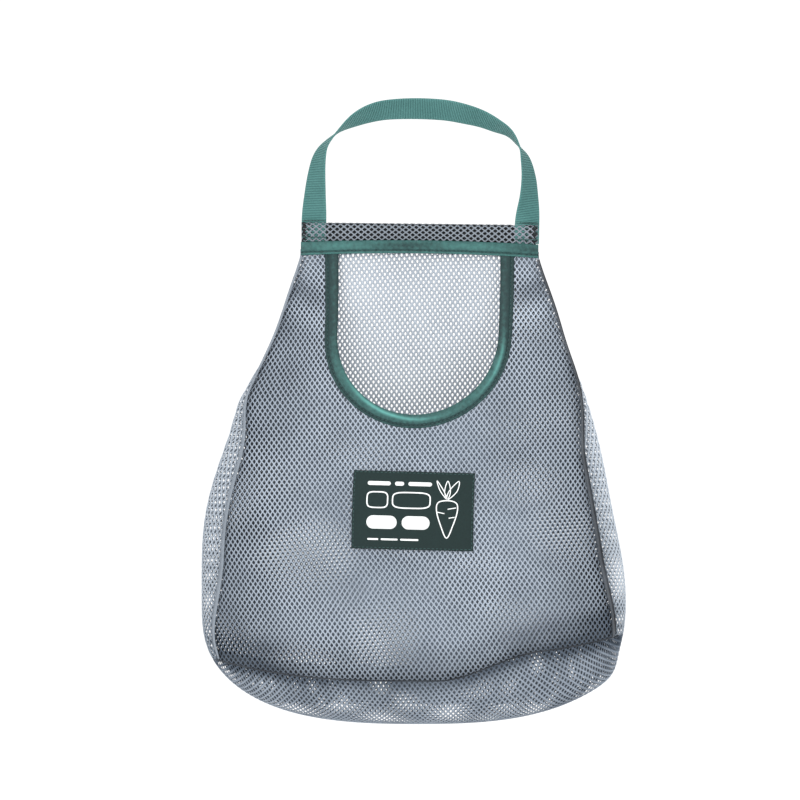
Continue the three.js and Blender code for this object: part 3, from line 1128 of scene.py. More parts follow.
@dataclass(frozen=True)
class NetCloth:
    """A knitted net of diamond holes with rounded corners, made of raised yarn."""

    across: float = 3.35 * MM
    down: float = 4.65 * MM
    yarn: float = 1.04 * MM
    height: float = 0.36 * MM
    bulge: float = 0.34
    shoulder: float = 0.8

    def cut(self, name: str, region: Region, lean: float, material: bpy.types.Material,
            origin: tuple[float, float] = (0.0, 0.0)) -> tuple[bpy.types.Object, float]:
        """Cuts a piece of net and lays it on its form.

        Args:
            name: the piece's name.
            region: what it covers and how it lies.
            lean: the angle that the rows of holes are turned by.
            material: its finish.
            origin: where a hole is centred, which moves the pattern.

        Returns:
            The piece and its flat area.
        """
        centres = self._centres(region, lean, origin)
        around = np.array([(1, 0), (0, 1), (-1, 0), (0, -1)])
        corners = (centres[:, None] + around[None]).reshape(-1, 2)
        lattice, corner = np.unique(corners, axis=0, return_inverse=True)
        corner = corner.reshape(-1, 4)
        p, q = self._flat(lattice, lean, origin)
        p, q = region.hold(p, q)
        step = 0.4 * MM
        point = region.lay(p, q)
        dp = region.lay(p + step, q) - region.lay(p - step, q)
        dq = region.lay(p, q + step) - region.lay(p, q - step)
        out = unit(np.cross(dp, dq)) * self.height
        points, faces = self._knit(point, out, corner)
        piece = make_object(name, points, faces, material, region.shade(points))
        return piece, len(corner) * self.across * self.down / 2

    def _flat(self, lattice: Array, lean: float, origin: tuple[float, float]) -> tuple[Array, Array]:
        """Places of lattice numbers on the flat cloth, in metres.

        Args:
            lattice: the lattice numbers.
            lean: the angle that the rows are turned by.
            origin: where the lattice starts.

        Returns:
            The places along and up the cloth.
        """
        u, v = lattice[:, 0] * self.across / 2, lattice[:, 1] * self.down / 2
        c, s = math.cos(lean), math.sin(lean)
        return u * c - v * s + origin[0], u * s + v * c + origin[1]

    def _centres(self, region: Region, lean: float, origin: tuple[float, float]) -> Array:
        """Lattice numbers of the holes that the region covers.

        Args:
            region: the cut of net.
            lean: the angle that the rows are turned by.
            origin: where the lattice starts.

        Returns:
            The lattice numbers of the holes' middles.
        """
        reach = math.hypot(region.high[0] - region.low[0], region.high[1] - region.low[1])
        many = int(reach / min(self.across, self.down) * 2) + 4
        i, j = np.meshgrid(np.arange(-many, many + 1), np.arange(-many, many + 1), indexing="ij")
        lattice = np.stack([i.ravel(), j.ravel()], -1)
        mid = (np.array(region.low) + np.array(region.high)) / 2 - np.array(origin)
        c, s = math.cos(lean), math.sin(lean)
        shift = np.array(
            [
                round((mid[0] * c + mid[1] * s) / (self.across / 2)),
                round((mid[1] * c - mid[0] * s) / (self.down / 2)),
            ]
        )
        lattice = lattice + shift
        lattice = lattice[(lattice.sum(axis=1) % 2) == 0]
        p, q = self._flat(lattice, lean, origin)
        inside = (p > region.low[0]) & (p < region.high[0]) & (q > region.low[1]) & (q < region.high[1])
        lattice, p, q = lattice[inside], p[inside], q[inside]
        return lattice[region.covers(p, q)]

    def _knit(self, point: Array, out: Array, corner: Array) -> tuple[Array, list[Array]]:
        """Builds the yarn round each hole, raised along its middle on both faces.

        Args:
            point: each lattice corner's place.
            out: half the yarn's height at each corner, as a vector.
            corner: the right, top, left and bottom corner of each hole.

        Returns:
            The points and the faces.
        """
        count, holes = len(point), len(corner)
        gap = self.across * self.down / (2 * math.hypot(self.across / 2, self.down / 2))
        open_share = 1 - self.yarn / gap
        wide, tall = self.shoulder * open_share, open_share
        level = self.bulge * open_share
        right, top, left, bottom = (point[corner[:, k]] for k in range(4))
        middle = (right + top + left + bottom) / 4
        u, v = (right - left) / 2, (top - bottom) / 2
        ring = [(wide, level), (0, tall), (-wide, level), (-wide, -level), (0, -tall), (wide, -level)]
        hole = np.stack([middle + a * u + b * v for a, b in ring], 1).reshape(-1, 3)
        points = np.concatenate([point + out, point - out, hole])
        h = 2 * count + np.arange(holes)[:, None] * 6 + np.arange(6)[None]
        r, t, l, b = (corner[:, k] for k in range(4))
        quads = [
            (r, t, h[:, 1], h[:, 0]),
            (t, l, h[:, 2], h[:, 1]),
            (l, b, h[:, 4], h[:, 3]),
            (b, r, h[:, 5], h[:, 4]),
        ]
        tris = [(l, h[:, 3], h[:, 2]), (r, h[:, 0], h[:, 5])]
        quads = np.concatenate([np.stack(q, -1) for q in quads])
        tris = np.concatenate([np.stack(t, -1) for t in tris])
        under_q = np.where(quads < count, quads + count, quads)[:, ::-1]
        under_t = np.where(tris < count, tris + count, tris)[:, ::-1]
        edge = self._edges(corner)
        wall = np.stack([edge[:, 1], edge[:, 0], edge[:, 0] + count, edge[:, 1] + count], -1)
        return points, [np.concatenate([quads, under_q, wall]), np.concatenate([tris, under_t])]

    @staticmethod
    def _edges(corner: Array) -> Array:
        """The net's outer edges, those with a hole on one side only.

        Args:
            corner: the four corners of each hole.

        Returns:
            The two ends of each edge.
        """
        pairs = np.concatenate([corner[:, [k, (k + 1) % 4]] for k in range(4)])
        ordered = np.sort(pairs, axis=1)
        _, first, uses = np.unique(ordered, axis=0, return_index=True, return_counts=True)
        return pairs[first[uses == 1]]


# ---- sub-assemblies -----------------------------------------------------------------------------


@dataclass(frozen=True)
class Finishes:
    """Every material, made once."""

    net: bpy.types.Material
    back_net: bpy.types.Material
    header_net: bpy.types.Material
    inner_net: bpy.types.Material
    inner_fold: bpy.types.Material
    tape: bpy.types.Material
    strap: bpy.types.Material
    label: bpy.types.Material
    print_thread: bpy.types.Material
    seam: bpy.types.Material
    dark_thread: bpy.types.Material
    floor: bpy.types.Material

    @classmethod
    def make(cls) -> "Finishes":
        """Builds every material of the bag and its floor.

        Returns:
            The finishes.
        """
        return cls(
            net=NetFinish("grey knitted net", rgb(74, 85, 98), rgb(182, 193, 206)).build(),
            # The back's net is the front's net painted paler: painted light on the back panel.
            back_net=NetFinish("grey knitted back net, painted paler", rgb(116, 126, 137), rgb(190, 199, 209)).build(),
            header_net=NetFinish("coarse header net", rgb(58, 67, 76), rgb(160, 169, 179)).build(),
            # The header's turned-in net is painted near-black: painted shade inside the folded header.
            inner_net=NetFinish("turned-in net", rgb(2, 5, 9), rgb(12, 17, 24)).build(),
            # A dark net layer inside the front, painting the shade inside the bag that shows through the
            # front's holes.
            inner_fold=NetFinish("net layer of painted shade", rgb(10, 17, 26), rgb(136, 147, 160)).build(),
            tape=SatinFinish("green satin tape", rgb(14, 44, 45), rgb(88, 152, 146)).build(),
            strap=WebbingFinish("green ribbed webbing", rgb(20, 60, 59), rgb(89, 138, 135)).build(),
            label=LabelFinish("dark woven label", rgb(10, 27, 27), rgb(28, 48, 47)).build(),
            print_thread=ThreadFinish("white label yarn", rgb(222, 226, 226), rgb(250, 252, 251)).build(),
            # The seams' edges run from near-black to pale by each edge's painted shade.
            seam=NetFinish("overlocked edge", rgb(14, 20, 28), rgb(132, 141, 151)).build(),
            dark_thread=ThreadFinish("dark green thread", rgb(24, 48, 48), rgb(58, 94, 92)).build(),
            floor=FloorFinish("pale floor", (0.97, 0.97, 0.97, 1.0), (0.99, 0.99, 0.99, 1.0)).build(),
        )


def dress(piece: bpy.types.Object, slot_name: str, *nodes: str) -> None:
    """Fixes a finished piece to the bag, hides the CAD nodes that it stands for, and logs it.

    Args:
        piece: the piece, in place.
        slot_name: not used.
        nodes: the CAD nodes that it stands for.
    """
    if nodes:
        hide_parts(*nodes)
    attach(piece, "bag")
    LOG.info("%s: %d faces", piece.name, len(piece.data.polygons))


@dataclass(frozen=True)
class Sewing:
    """How a row is sewn: each stitch's length, its thread's width and the step between stitches."""

    length: float = 2.1 * MM
    thread: float = 0.5 * MM
    pitch: float = 2.7 * MM

    def sew(self, name: str, places: Array, along: Array, out: Array,
            material: bpy.types.Material, node: str) -> None:
        """Lays a stitch at each place, as one piece, and dresses it.

        Args:
            name: the piece's name.
            places: the middle of each stitch.
            along: the direction of each stitch.
            out: the way out of the cloth at each.
            material: its finish.
            node: the CAD node that the row stands for.
        """
        template = stitch_template(self.length, self.thread)
        dress(join_copies(name, template, places, along, out, material), "thread", node)


@dataclass
class NetPanels:
    """The front, back and bottom nets of the bag."""

    form: BagForm
    mouth: Mouth
    finishes: Finishes
    cloth: NetCloth = NetCloth()
    front_lean: float = math.radians(3.0)
    back_cloth: NetCloth = NetCloth(yarn=1.32 * MM)
    base_cloth: NetCloth = NetCloth(yarn=1.28 * MM)
    back_lean: float = math.radians(-4.0)
    # The inner net below is a dark layer of painted shade inside the front.
    inner: NetCloth = NetCloth(yarn=1.7 * MM)
    inner_lean: float = math.radians(5.2)
    inner_depth: float = 0.25
    inner_rise: float = 13 * MM
    tucked: float = 4 * MM
    front_girth: float = 0.29
    back_girth: float = 0.35
    base_girth: float = 0.37
    base_width: float = 0.11
    inner_girth: float = 0.262
    widest_way: float = 200 * MM
    longest_way: float = 90 * MM

    def build(self) -> None:
        """Cuts and hangs the three nets."""
        top = self.form.header_foot + self.tucked
        drop = top - self.form.lowest - self.form.seam_rise
        front, back = self._wall(Side.FRONT, top), self._wall(Side.BACK, top)
        net, back_net = self.finishes.net, self.finishes.back_net
        cuts = (
            ("front_net", front, self.front_lean, net, (self.front_girth, drop)),
            ("back_net", back, self.back_lean, back_net, (self.back_girth, drop)),
            ("bottom_net", self._base(), self.front_lean, net, (self.base_girth, self.base_width)),
        )
        nodes = ("front_panel", "back_panel", "bottom_panel")
        for (name, region, lean, finish, flat), node in zip(cuts, nodes):
            cloth = {"back_net": self.back_cloth, "bottom_net": self.base_cloth}.get(name, self.cloth)
            piece, area = cloth.cut(name, region, lean, finish)
            LOG.info("%s: flat area %.4f of %.4f", name, area, flat[0] * flat[1])
            dress(piece, "body_net", node)
        # The dark inner layer paints the shade inside the bag, seen through the front's holes.
        finish, flat = self.finishes.inner_fold, (self.inner_girth, drop)
        fold, area = self.inner.cut("inner_fold", self._inner(top), self.inner_lean, finish)
        dress(fold, "body_net")

    def _reach(self, z: Array, side: Side) -> Array:
        """Length round the cloth from its middle to the side seams, for a height.

        Args:
            z: heights.
            side: the front or the back.

        Returns:
            The length at each height.
        """
        turn = self.form.seam_turn(z)
        turn = turn if side is Side.FRONT else math.pi - turn
        return self.form.arc(turn, z)

    def _wall(self, side: Side, top: float) -> Region:
        """The front or the back, from the header down to the bottom seam.

        Args:
            side: which of the two.
            top: the height of its upper edge.

        Returns:
            The region, in metres round the body and metres of height.
        """
        form, mouth = self.form, self.mouth
        cell = self.cloth.down / 2

        def edge_z(p: Array, q: Array) -> tuple[Array, Array]:
            """Finds the bottom seam below each place.

            Args:
                p: places along the cloth.
                q: places up the cloth.

            Returns:
                The angle round the body and the seam's height.
            """
            turn = form.turn_at(p, q)
            return turn, form.rim(-side.value * np.sin(turn))

        def covers(p: Array, q: Array) -> Array:
            """Keeps the holes inside the seams and outside the mouth.

            Args:
                p: places along the cloth.
                q: places up the cloth.

            Returns:
                Whether each place is kept.
            """
            turn, foot = edge_z(p, q)
            keep = (np.abs(p) < self._reach(q, side) + 0.6 * cell) & (q > foot - 0.7 * cell)
            if side is Side.FRONT:
                x = form.half_width(q) * np.sin(turn)
                keep &= mouth.reach(x, q) > 0.3 * mouth.tape
            return keep

        def hold(p: Array, q: Array) -> tuple[Array, Array]:
            """Pulls the places past an edge back to it.

            Args:
                p: places along the cloth.
                q: places up the cloth.

            Returns:
                The places held inside the edges.
            """
            q = np.minimum(q, top)
            turn, foot = edge_z(p, q)
            q = np.maximum(q, foot)
            reach = self._reach(q, side)
            return np.clip(p, -reach, reach), q

        def lay(p: Array, q: Array) -> Array:
            """Where each place of the cloth hangs."""
            return form.settle(form.even_point(form.turn_at(p, q), q, side))

        def shade(points: Array) -> Array:
            """Paints light and shade into the cloth: paler in its middle, darker at its sides and seams.

            Args:
                points: places on the hanging cloth.

            Returns:
                The shade at each.
            """
            x, z = points[:, 0], points[:, 2]
            # Painted shade: darker towards the sides, with broad lighter and darker bands.
            middle = 1 - ease(np.abs(x), 0.55 * form.half_width(z), form.half_width(z))
            bands = 0.06 * np.sin(x / (19 * MM) + z / (47 * MM))
            bands += 0.04 * np.sin(x / (31 * MM) - z / (23 * MM))
            # Paler towards the header, the back painted paler at its right edge, and painted light and
            # shade on the shoulder creases.
            upper = 0.12 * (1 - ease(-z, -form.header_foot + 20 * MM, -form.label_z))
            rim = 0.45 * ease(x, 0.86 * form.half_width(z), form.half_width(z)) * (side is Side.BACK)
            creases = upper + 0.26 * form.shoulder.at(np.abs(x), z)
            # Painted shade inside the bag where the back shows through the mouth, and painted shadow
            # along the seams.
            behind = 0.22 * (mouth.reach(x, z) < 0) * (side is Side.BACK)
            return 0.42 + 0.22 * middle + bands + creases + rim - behind - 0.62 * form.seam_shadow(points)

        low, high = (-self.widest_way, form.lowest), (self.widest_way, top - 0.5 * cell)
        return Region(low, high, covers, hold, lay, shade)

    def _inner(self, top: float) -> Region:
        """A dark net layer of painted shade inside the front, from seam to seam and nearly down to the
        bottom.

        Args:
            top: the height of its upper edge.

        Returns:
            The region.
        """
        form, mouth = self.form, self.mouth
        low = form.lowest + self.inner_rise

        def covers(p: Array, q: Array) -> Array:
            """Keeps the holes well inside the side seams and outside the mouth.

            Args:
                p: places along the cloth.
                q: places up the cloth.

            Returns:
                Whether each place is kept.
            """
            edge = self._reach(q, Side.FRONT) - np.where(p > 0, 3 * MM, 2 * MM)
            x = form.half_width(q) * np.sin(form.turn_at(p, q))
            return (np.abs(p) < edge) & (mouth.reach(x, q) > 0.3 * mouth.tape)

        def hold(p: Array, q: Array) -> tuple[Array, Array]:
            """The places held between the lower and the upper edge."""
            return p, np.clip(q, low, top)

        def lay(p: Array, q: Array) -> Array:
            """Lays the cloth inside the front, nearer to the bag's middle.

            Args:
                p: places along the cloth.
                q: places up the cloth.

            Returns:
                Where each place hangs.
            """
            point = form.even_point(form.turn_at(p, q), q, Side.FRONT)
            point[..., 1] = form.mid_y + (point[..., 1] - form.mid_y) * self.inner_depth
            return form.settle(point)

        def shade(points: Array) -> Array:
            """Paints the layer's shade: pale in its middle, dark at its sides and along the seams.

            Args:
                points: places on the hanging cloth.

            Returns:
                The shade at each.
            """
            x, z = np.abs(points[:, 0]), points[:, 2]
            middle = 1 - ease(x, 0.3 * form.half_width(z), 0.92 * form.half_width(z))
            lower = ease(-z, -form.header_foot, -form.label_z) * (1 - 0.7 * ease(-z, 0.33, 0.375))
            bands = 0.12 * np.sin(points[:, 0] / (16 * MM) + z / (33 * MM)) * lower
            side = 0.16 + 0.24 * (1 - lower) + 0.08 * (points[:, 0] > 0)
            return side + 0.72 * middle * lower + bands - 0.5 * form.seam_shadow(points)

        return Region((-self.widest_way, low), (self.widest_way, top), covers, hold, lay, shade)

    def _base(self) -> Region:
        """The bottom, from the front seam under the bag to the back seam.

        Returns:
            The region.
        """
        form = self.form
        cell = self.cloth.down / 2
        outs = form.base_table[1]

        def covers(p: Array, q: Array) -> Array:
            """Whether each place is between the two bottom seams."""
            return np.abs(q) < form.base_reach(p) + 0.7 * cell

        def hold(p: Array, q: Array) -> tuple[Array, Array]:
            """Pulls the places past a seam back to it.

            Args:
                p: places sideways.
                q: places from the middle towards the front.

            Returns:
                The places held inside the seams.
            """
            p = np.clip(p, outs[0], outs[-1])
            reach = form.base_reach(p)
            return p, np.clip(q, -reach, reach)

        def shade(points: Array) -> Array:
            """Painted shade at each point, darker along the seams."""
            return 0.37 + 0.04 * np.sin(points[:, 0] / (9 * MM)) - 0.5 * form.seam_shadow(points)

        low, high = (outs[0] - cell, -self.longest_way), (outs[-1] + cell, self.longest_way)
        return Region(low, high, covers, hold, form.base_point, shade)


@dataclass
class Header:
    """The folded net header, its inner layers, the satin tapes over its foot and their stitches."""

    form: BagForm
    finishes: Finishes
    cloth: NetCloth = NetCloth(across=4.57 * MM, down=3.3 * MM, yarn=1.0 * MM, height=0.42 * MM)
    # The lining is the header's turned-in net, with thick yarn painted near-black as the shade inside the
    # fold, so the header's holes look dark.
    lining: NetCloth = NetCloth(across=4.57 * MM, down=3.3 * MM, yarn=2.1 * MM, height=0.3 * MM)
    end_share: float = 0.985
    strap_place: float = 69.8 * MM
    strap_room: float = 7.2 * MM
    lining_depth: float = 1.0 * MM
    tape_lift: float = 1.0 * MM
    tape_thick: float = 0.8 * MM
    stitch_inset: float = 1.9 * MM
    sewing: Sewing = Sewing()

    def build(self) -> None:
        """Builds both faces of the header."""
        for side in Side:
            tag = side.name.lower()
            self._net(f"header_net_{tag}", side, 0.0, self.finishes.header_net, f"header_{tag}")
            # The turned-in layer is real net, painted near-black as painted shade.
            self._net(f"header_lining_{tag}", side, -self.lining_depth, self.finishes.inner_net)
            self._tape(side)
            self._stitches(side)

    def _net(self, name: str, side: Side, lift: float, material: bpy.types.Material,
             *nodes: str) -> None:
        """Cuts one layer of the header's net.

        Args:
            name: the piece's name.
            side: the face that it lies on.
            lift: how far outside the face.
            material: its finish.
            nodes: the CAD nodes that it stands for.
        """
        form = self.form
        half, top, foot = form.header_half - 0.3 * MM, form.header_top, form.header_foot + 2 * MM

        def hold(p: Array, q: Array) -> tuple[Array, Array]:
            """The places held inside the header's edges."""
            return np.clip(p, -half, half), np.clip(q, foot, top)

        def lay(p: Array, q: Array) -> Array:
            """Lays the net on its face of the header.

            Args:
                p: places along the cloth.
                q: places up the cloth.

            Returns:
                Where each place hangs.
            """
            turn = np.arcsin(np.clip(p / form.header_half, -1, 1)) * self.end_share
            point = form.even_point(turn, q, side)
            point[..., 1] += side.value * lift
            return form.settle(point)

        def covers(p: Array, q: Array) -> Array:
            """Whether each place has a hole, with room left for the straps in the front lining."""
            strap = (np.abs(np.abs(p) - self.strap_place) < self.strap_room) & (side is Side.FRONT)
            return (np.abs(p) < half) & ~(strap & (lift < 0))

        def shade(points: Array) -> Array:
            """One even shade for all points."""
            return np.full(len(points), 0.55)

        cloth = self.lining if lift else self.cloth
        region = Region((-half, foot), (half, top), covers, hold, lay, shade)
        shift = (cloth.across / 3, top - 2.2 * MM) if lift else (0.0, top - 1.0 * MM)
        piece, area = cloth.cut(name, region, 0.0, material, shift)
        area = min(area, 2 * half * (top - foot))
        dress(piece, "header_net", *nodes)

    def _frame(self, x: Array, z: Array, side: Side) -> tuple[Array, Array]:
        """Points and outward directions on one face of the header.

        Args:
            x: places sideways.
            z: heights.
            side: the front or the back.

        Returns:
            The points and the directions.
        """
        form = self.form
        turn = np.arcsin(np.clip(x / form.header_half, -1, 1)) * self.end_share
        point = form.settle(form.even_point(-side.value * turn, z, side))
        out = np.zeros_like(point)
        out[..., 1] = side.value
        return point, out

    def _tape(self, side: Side) -> None:
        """Lays one satin tape over the header's foot, with a ridge below its stitches.

        Args:
            side: the front or the back.
        """
        form = self.form
        wide = form.tape_top - form.header_foot
        groove = wide - self.stitch_inset
        lift, thick = self.tape_lift, self.tape_thick
        outline = [
            (0.0, lift - 0.2 * MM), (0.3 * MM, lift + thick * 0.8), (wide * 0.3, lift + thick * 1.1),
            (groove - 1.0 * MM, lift + thick), (groove - 0.1 * MM, lift + thick * 0.35),
            (groove + 0.5 * MM, lift + thick * 0.8), (wide - 0.4 * MM, lift + thick * 0.9),
            (wide, lift), (wide - 0.4 * MM, lift - 0.5 * MM), (wide / 2, lift - 0.35 * MM),
        ]
        section = smooth_loop(np.array(outline), 3)
        x = np.linspace(-form.header_half, form.header_half, 240)
        down, rise = section[:, 0], section[:, 1]
        xs, zs = np.meshgrid(x, form.tape_top - down, indexing="ij")
        point, out = self._frame(xs, zs, side)
        ripple = 0.18 * MM * np.sin(xs / (3.1 * MM) + 2.0 * np.sin(xs / (11 * MM))) * (rise > lift)
        ripple *= hump(down, 0.45 * wide, 0.35 * wide)
        rings = point + out * (rise + ripple)[..., None]
        # Painted light on the tape: a highlight that comes and goes along it near its top, a highlight on
        # its lower lip and painted shade in its groove.
        painted_light = 0.24 + 0.16 * np.sin(xs / (14 * MM) + side.value) * hump(down, 3 * MM, 2 * MM)
        painted_light += 0.12 * hump(down, wide - 0.5 * MM, 0.5 * MM) - 0.2 * hump(down, groove, 0.6 * MM)
        uv = np.stack([xs, np.broadcast_to(down, xs.shape)], -1)
        piece = loft(f"header_tape_cover_{side.name.lower()}", rings, self.finishes.tape, painted_light, uv)
        dress(piece, "binding_tape", f"header_tape_{side.name.lower()}")

    def _stitches(self, side: Side) -> None:
        """Sews the tape down along its groove.

        Args:
            side: the front or the back.
        """
        form = self.form
        x = np.arange(-form.header_half + 2 * MM, form.header_half - 1.5 * MM, self.sewing.pitch)
        z = np.full_like(x, form.header_foot + self.stitch_inset)
        point, out = self._frame(x, z, side)
        ahead, _ = self._frame(x + 0.5 * MM, z, side)
        places = point + out * (self.tape_lift + self.tape_thick * 0.42)
        tag = side.name.lower()
        thread = self.finishes.dark_thread
        name, node = f"header_stitches_{tag}", f"header_thread_{tag}"
        self.sewing.sew(name, places, ahead - point, out, thread, node)


@dataclass
class MouthBinding:
    """The satin tape folded round the mouth's edge, and its stitches."""

    form: BagForm
    mouth: Mouth
    finishes: Finishes
    stitch_inset: float = 2.0 * MM
    stitch_lift: float = 0.62 * MM
    round_foot: float = math.pi * 57 * MM
    sewing: Sewing = Sewing()

    def build(self) -> None:
        """Builds the tape and its stitches."""
        self._tape()
        self._stitches()

    def _tape(self) -> None:
        """Folds the tape round the edge, with its groove near the outer lip."""
        wide = self.mouth.tape
        groove = wide - self.stitch_inset
        outline = [
            (wide, 0.1 * MM), (wide - 0.2 * MM, 0.75 * MM), (groove + 0.7 * MM, 0.85 * MM),
            (groove, 0.45 * MM), (groove - 0.8 * MM, 0.95 * MM), (groove * 0.6, 1.25 * MM),
            (groove * 0.25, 1.2 * MM), (0.35 * MM, 0.8 * MM), (0.0, 0.0), (0.35 * MM, -0.6 * MM),
            (groove * 0.4, -0.85 * MM), (groove - 0.8 * MM, -0.75 * MM), (groove, -0.45 * MM),
            (groove + 0.7 * MM, -0.65 * MM), (wide - 0.2 * MM, -0.5 * MM),
        ]
        section = smooth_loop(np.array(outline), 3)
        steps = 420
        grow, rise = section[:, 0], section[:, 1]
        start = self.mouth.top + 3.5 * MM
        routes = [self.mouth.route(g, start, steps) for g in grow]
        x = np.stack([r[0] for r in routes], 1)
        z = np.stack([r[1] for r in routes], 1)
        point, out = self.form.front_frame(x, z)
        along = np.arange(steps)[:, None] * (2 * (start - self.mouth.spring) + self.round_foot) / steps
        bent = ease(self.mouth.spring + 6 * MM - z, 0, 30 * MM)
        crease = np.sin(along / (2.6 * MM) + 1.7 * np.sin(along / (9 * MM))) * (0.08 + 0.22 * bent) * MM
        upper = rise > 0.3 * MM
        belly = hump(grow, 0.4 * groove, 0.4 * groove) * upper
        rings = point + out * (rise + crease * belly)[..., None]
        # Painted light on the tape: wandering highlight streaks, lit low round its curve and in painted
        # shade up its straight sides, a highlight on its belly, painted shade in its groove and on the
        # lip outside it.
        wander = groove * (0.42 + 0.2 * np.sin(along / (34 * MM) + 2.2))
        streak = hump(grow, wander, 0.14 * groove) * upper
        lit = 0.1 + 0.9 * ease(self.mouth.spring + 10 * MM - z, 0, 40 * MM)
        painted_light = 0.25 * lit - 0.12 + 0.12 * belly - 0.2 * hump(grow, groove, 0.7 * MM)
        painted_light = painted_light - 0.06 * (grow > groove)
        painted_light += lit * streak * (0.4 + 0.4 * np.sin(along / (17 * MM) + 0.6))
        uv = np.stack([np.broadcast_to(along, x.shape), np.broadcast_to(grow, x.shape)], -1)
        piece = loft("mouth_tape", rings, self.finishes.tape, painted_light, uv)
        dress(piece, "binding_tape", "mouth_binding")

    def _stitches(self) -> None:
        """Sews the tape along its groove."""
        grow = self.mouth.tape - self.stitch_inset
        start = self.mouth.top - 2 * MM
        length = 2 * (start - self.mouth.spring) + math.pi * (self.mouth.half + grow)
        count = int(length / self.sewing.pitch)
        x, z = self.mouth.route(grow, start, 2 * count + 1)
        point, out = self.form.front_frame(x, z)
        rows = (point + out * self.stitch_lift, np.gradient(point, axis=0), out)
        places, along, out = (row[1::2] for row in rows)
        self.sewing.sew("mouth_stitches", places, along, out, self.finishes.dark_thread, "mouth_thread")


@dataclass
class Handle:
    """One ribbed webbing strap: two legs sewn into the header and a twisted arch between them."""

    form: BagForm
    finishes: Finishes
    width: float = 16 * MM
    thick: float = 1.2 * MM
    rib_pitch: float = 1.12 * MM
    rib_depth: float = 0.19 * MM
    cup: float = 0.35 * MM
    cup_length: float = 31 * MM
    ring_step: float = 0.28 * MM
    bend: float = 9 * MM
    foot_places: tuple[float, float] = (-68.0 * MM, 71.8 * MM)
    sewing: Sewing = Sewing(2.3 * MM, 0.75 * MM, 2.2 * MM)

    def stations(self) -> list[tuple[float, float, float]]:
        """The strap's middle line, as x, z and twist in degrees, with 0 flat to the front.

        Returns:
            The stations, in millimetres and degrees.
        """
        return [
            (-68.0, -88.0, 0), (-68.0, -74.0, 2), (-67.4, -58.0, 26), (-66.2, -41.7, 45),
            (-64.3, -30.6, 58), (-60.4, -22.6, 74), (-51.6, -13.8, 92), (-40.3, -6.4, 118),
            (-29.2, -1.9, 133), (-18.0, 0.1, 139),
            (0.0, 0.7, 143), (18.0, -0.3, 142), (30.5, -2.7, 138), (41.7, -5.9, 129),
            (51.2, -10.2, 119), (60.2, -15.2, 104), (66.4, -23.2, 90), (70.6, -31.6, 68),
            (73.0, -44.0, 54), (73.2, -58.0, 39), (72.0, -74.0, 8), (71.6, -88.0, 0),
        ]

    def build(self) -> None:
        """Builds the strap and its stitches."""
        self._strap()
        for sign, tag in ((-1, "left"), (1, "right")):
            self._stitches(sign, tag)

    def _route(self) -> tuple[Array, Array, Array]:
        """Evenly spaced points along the strap.

        Returns:
            The middle line, the twist in radians and the length along.
        """
        keys = np.array(self.stations(), dtype=float)
        keys[:, :2] *= MM
        fine = smooth_path(keys, 60)
        along = np.concatenate([[0], np.cumsum(np.hypot(*np.diff(fine[:, :2], axis=0).T))])
        count = int(along[-1] / self.ring_step)
        at = np.linspace(0, along[-1], count)
        x, z, twist = (np.interp(at, along, fine[:, k]) for k in range(3))
        for _ in range(40):
            for row in (x, z, twist):
                row[1:-1] = 0.25 * row[:-2] + 0.5 * row[1:-1] + 0.25 * row[2:]
        line = np.stack([x, np.full_like(x, self.form.mid_y), z], -1)
        return line, np.radians(twist), at

    def _strap(self) -> None:
        """Sweeps the ribbed section along the strap."""
        line, twist, at = self._route()
        tangent = unit(np.gradient(line, axis=0))
        toward = np.array([0.0, 1.0, 0.0])
        outward = unit(np.cross(toward, tangent))
        outward *= np.sign((outward * (line - line.mean(axis=0))).sum(axis=1).mean())
        across = outward * np.cos(twist)[:, None] + toward * np.sin(twist)[:, None]
        face = np.cross(across, tangent)
        edge = np.linspace(-1, 1, 15)
        half, body = self.width / 2, self.thick / 2
        lip = 1 - 0.45 * np.abs(edge) ** 8
        u = np.concatenate([edge, [1.02], edge[::-1], [-1.02]])
        v = np.concatenate([lip, [0.0], -lip, [0.0]])
        phase = 2 * math.pi * at[:, None] / self.rib_pitch
        rib = np.cos(phase) * self.rib_depth * np.sign(v) * (1 - np.abs(u) ** 10 * 0.6)
        cup = self.cup * (1 - u**2) * np.sin(at / self.cup_length)[:, None]
        rings = (
            line[:, None]
            + across[:, None] * (u * half)[None, :, None]
            + face[:, None] * (v * body + rib + cup)[..., None]
        )
        # Painted shade in the furrows between the ribs and a painted highlight on the strap's edges.
        shade = 0.55 + 0.4 * np.cos(phase) * np.ones(len(u)) + 0.12 * (np.abs(u) > 0.95)
        uv = np.stack([np.broadcast_to(at[:, None], rib.shape), np.broadcast_to(u * half, rib.shape)], -1)
        piece = loft("strap", rings, self.finishes.strap, shade, uv)
        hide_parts("handle_strap", "left_strap_end", "right_strap_end")
        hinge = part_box("handle_strap")[0][2]
        hinge + self.bend
        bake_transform(piece)
        LOG.info("strap: %d faces", len(piece.data.polygons))

    def _stitches(self, sign: int, tag: str) -> None:
        """Sews one end of the strap with two rows across it, on both faces.

        Args:
            sign: -1 at the left and 1 at the right.
            tag: the side's name.
        """
        form, half, pitch = self.form, self.width / 2, self.sewing.pitch
        x = np.arange(1.4 * MM - half, half - 0.6 * MM, pitch) + self.foot_places[sign > 0]
        places, out = [], []
        for face in Side:
            for level, lift in ((1.9 * MM, 1.15 * MM), (-9 * MM, form.layer + 0.7 * MM)):
                y = np.full_like(x, form.mid_y + face.value * lift)
                places.append(np.stack([x, y, form.header_top + level - x * form.header_lean], -1))
                out.append(np.tile([0.0, face.value, 0.0], (len(x), 1)))
        places, out = np.concatenate(places), np.concatenate(out)
        along = np.tile([1.0, 0.0, 0.0], (len(places), 1))
        thread = self.finishes.dark_thread
        self.sewing.sew(f"strap_stitches_{tag}", places, along, out, thread, f"{tag}_strap_stitch")


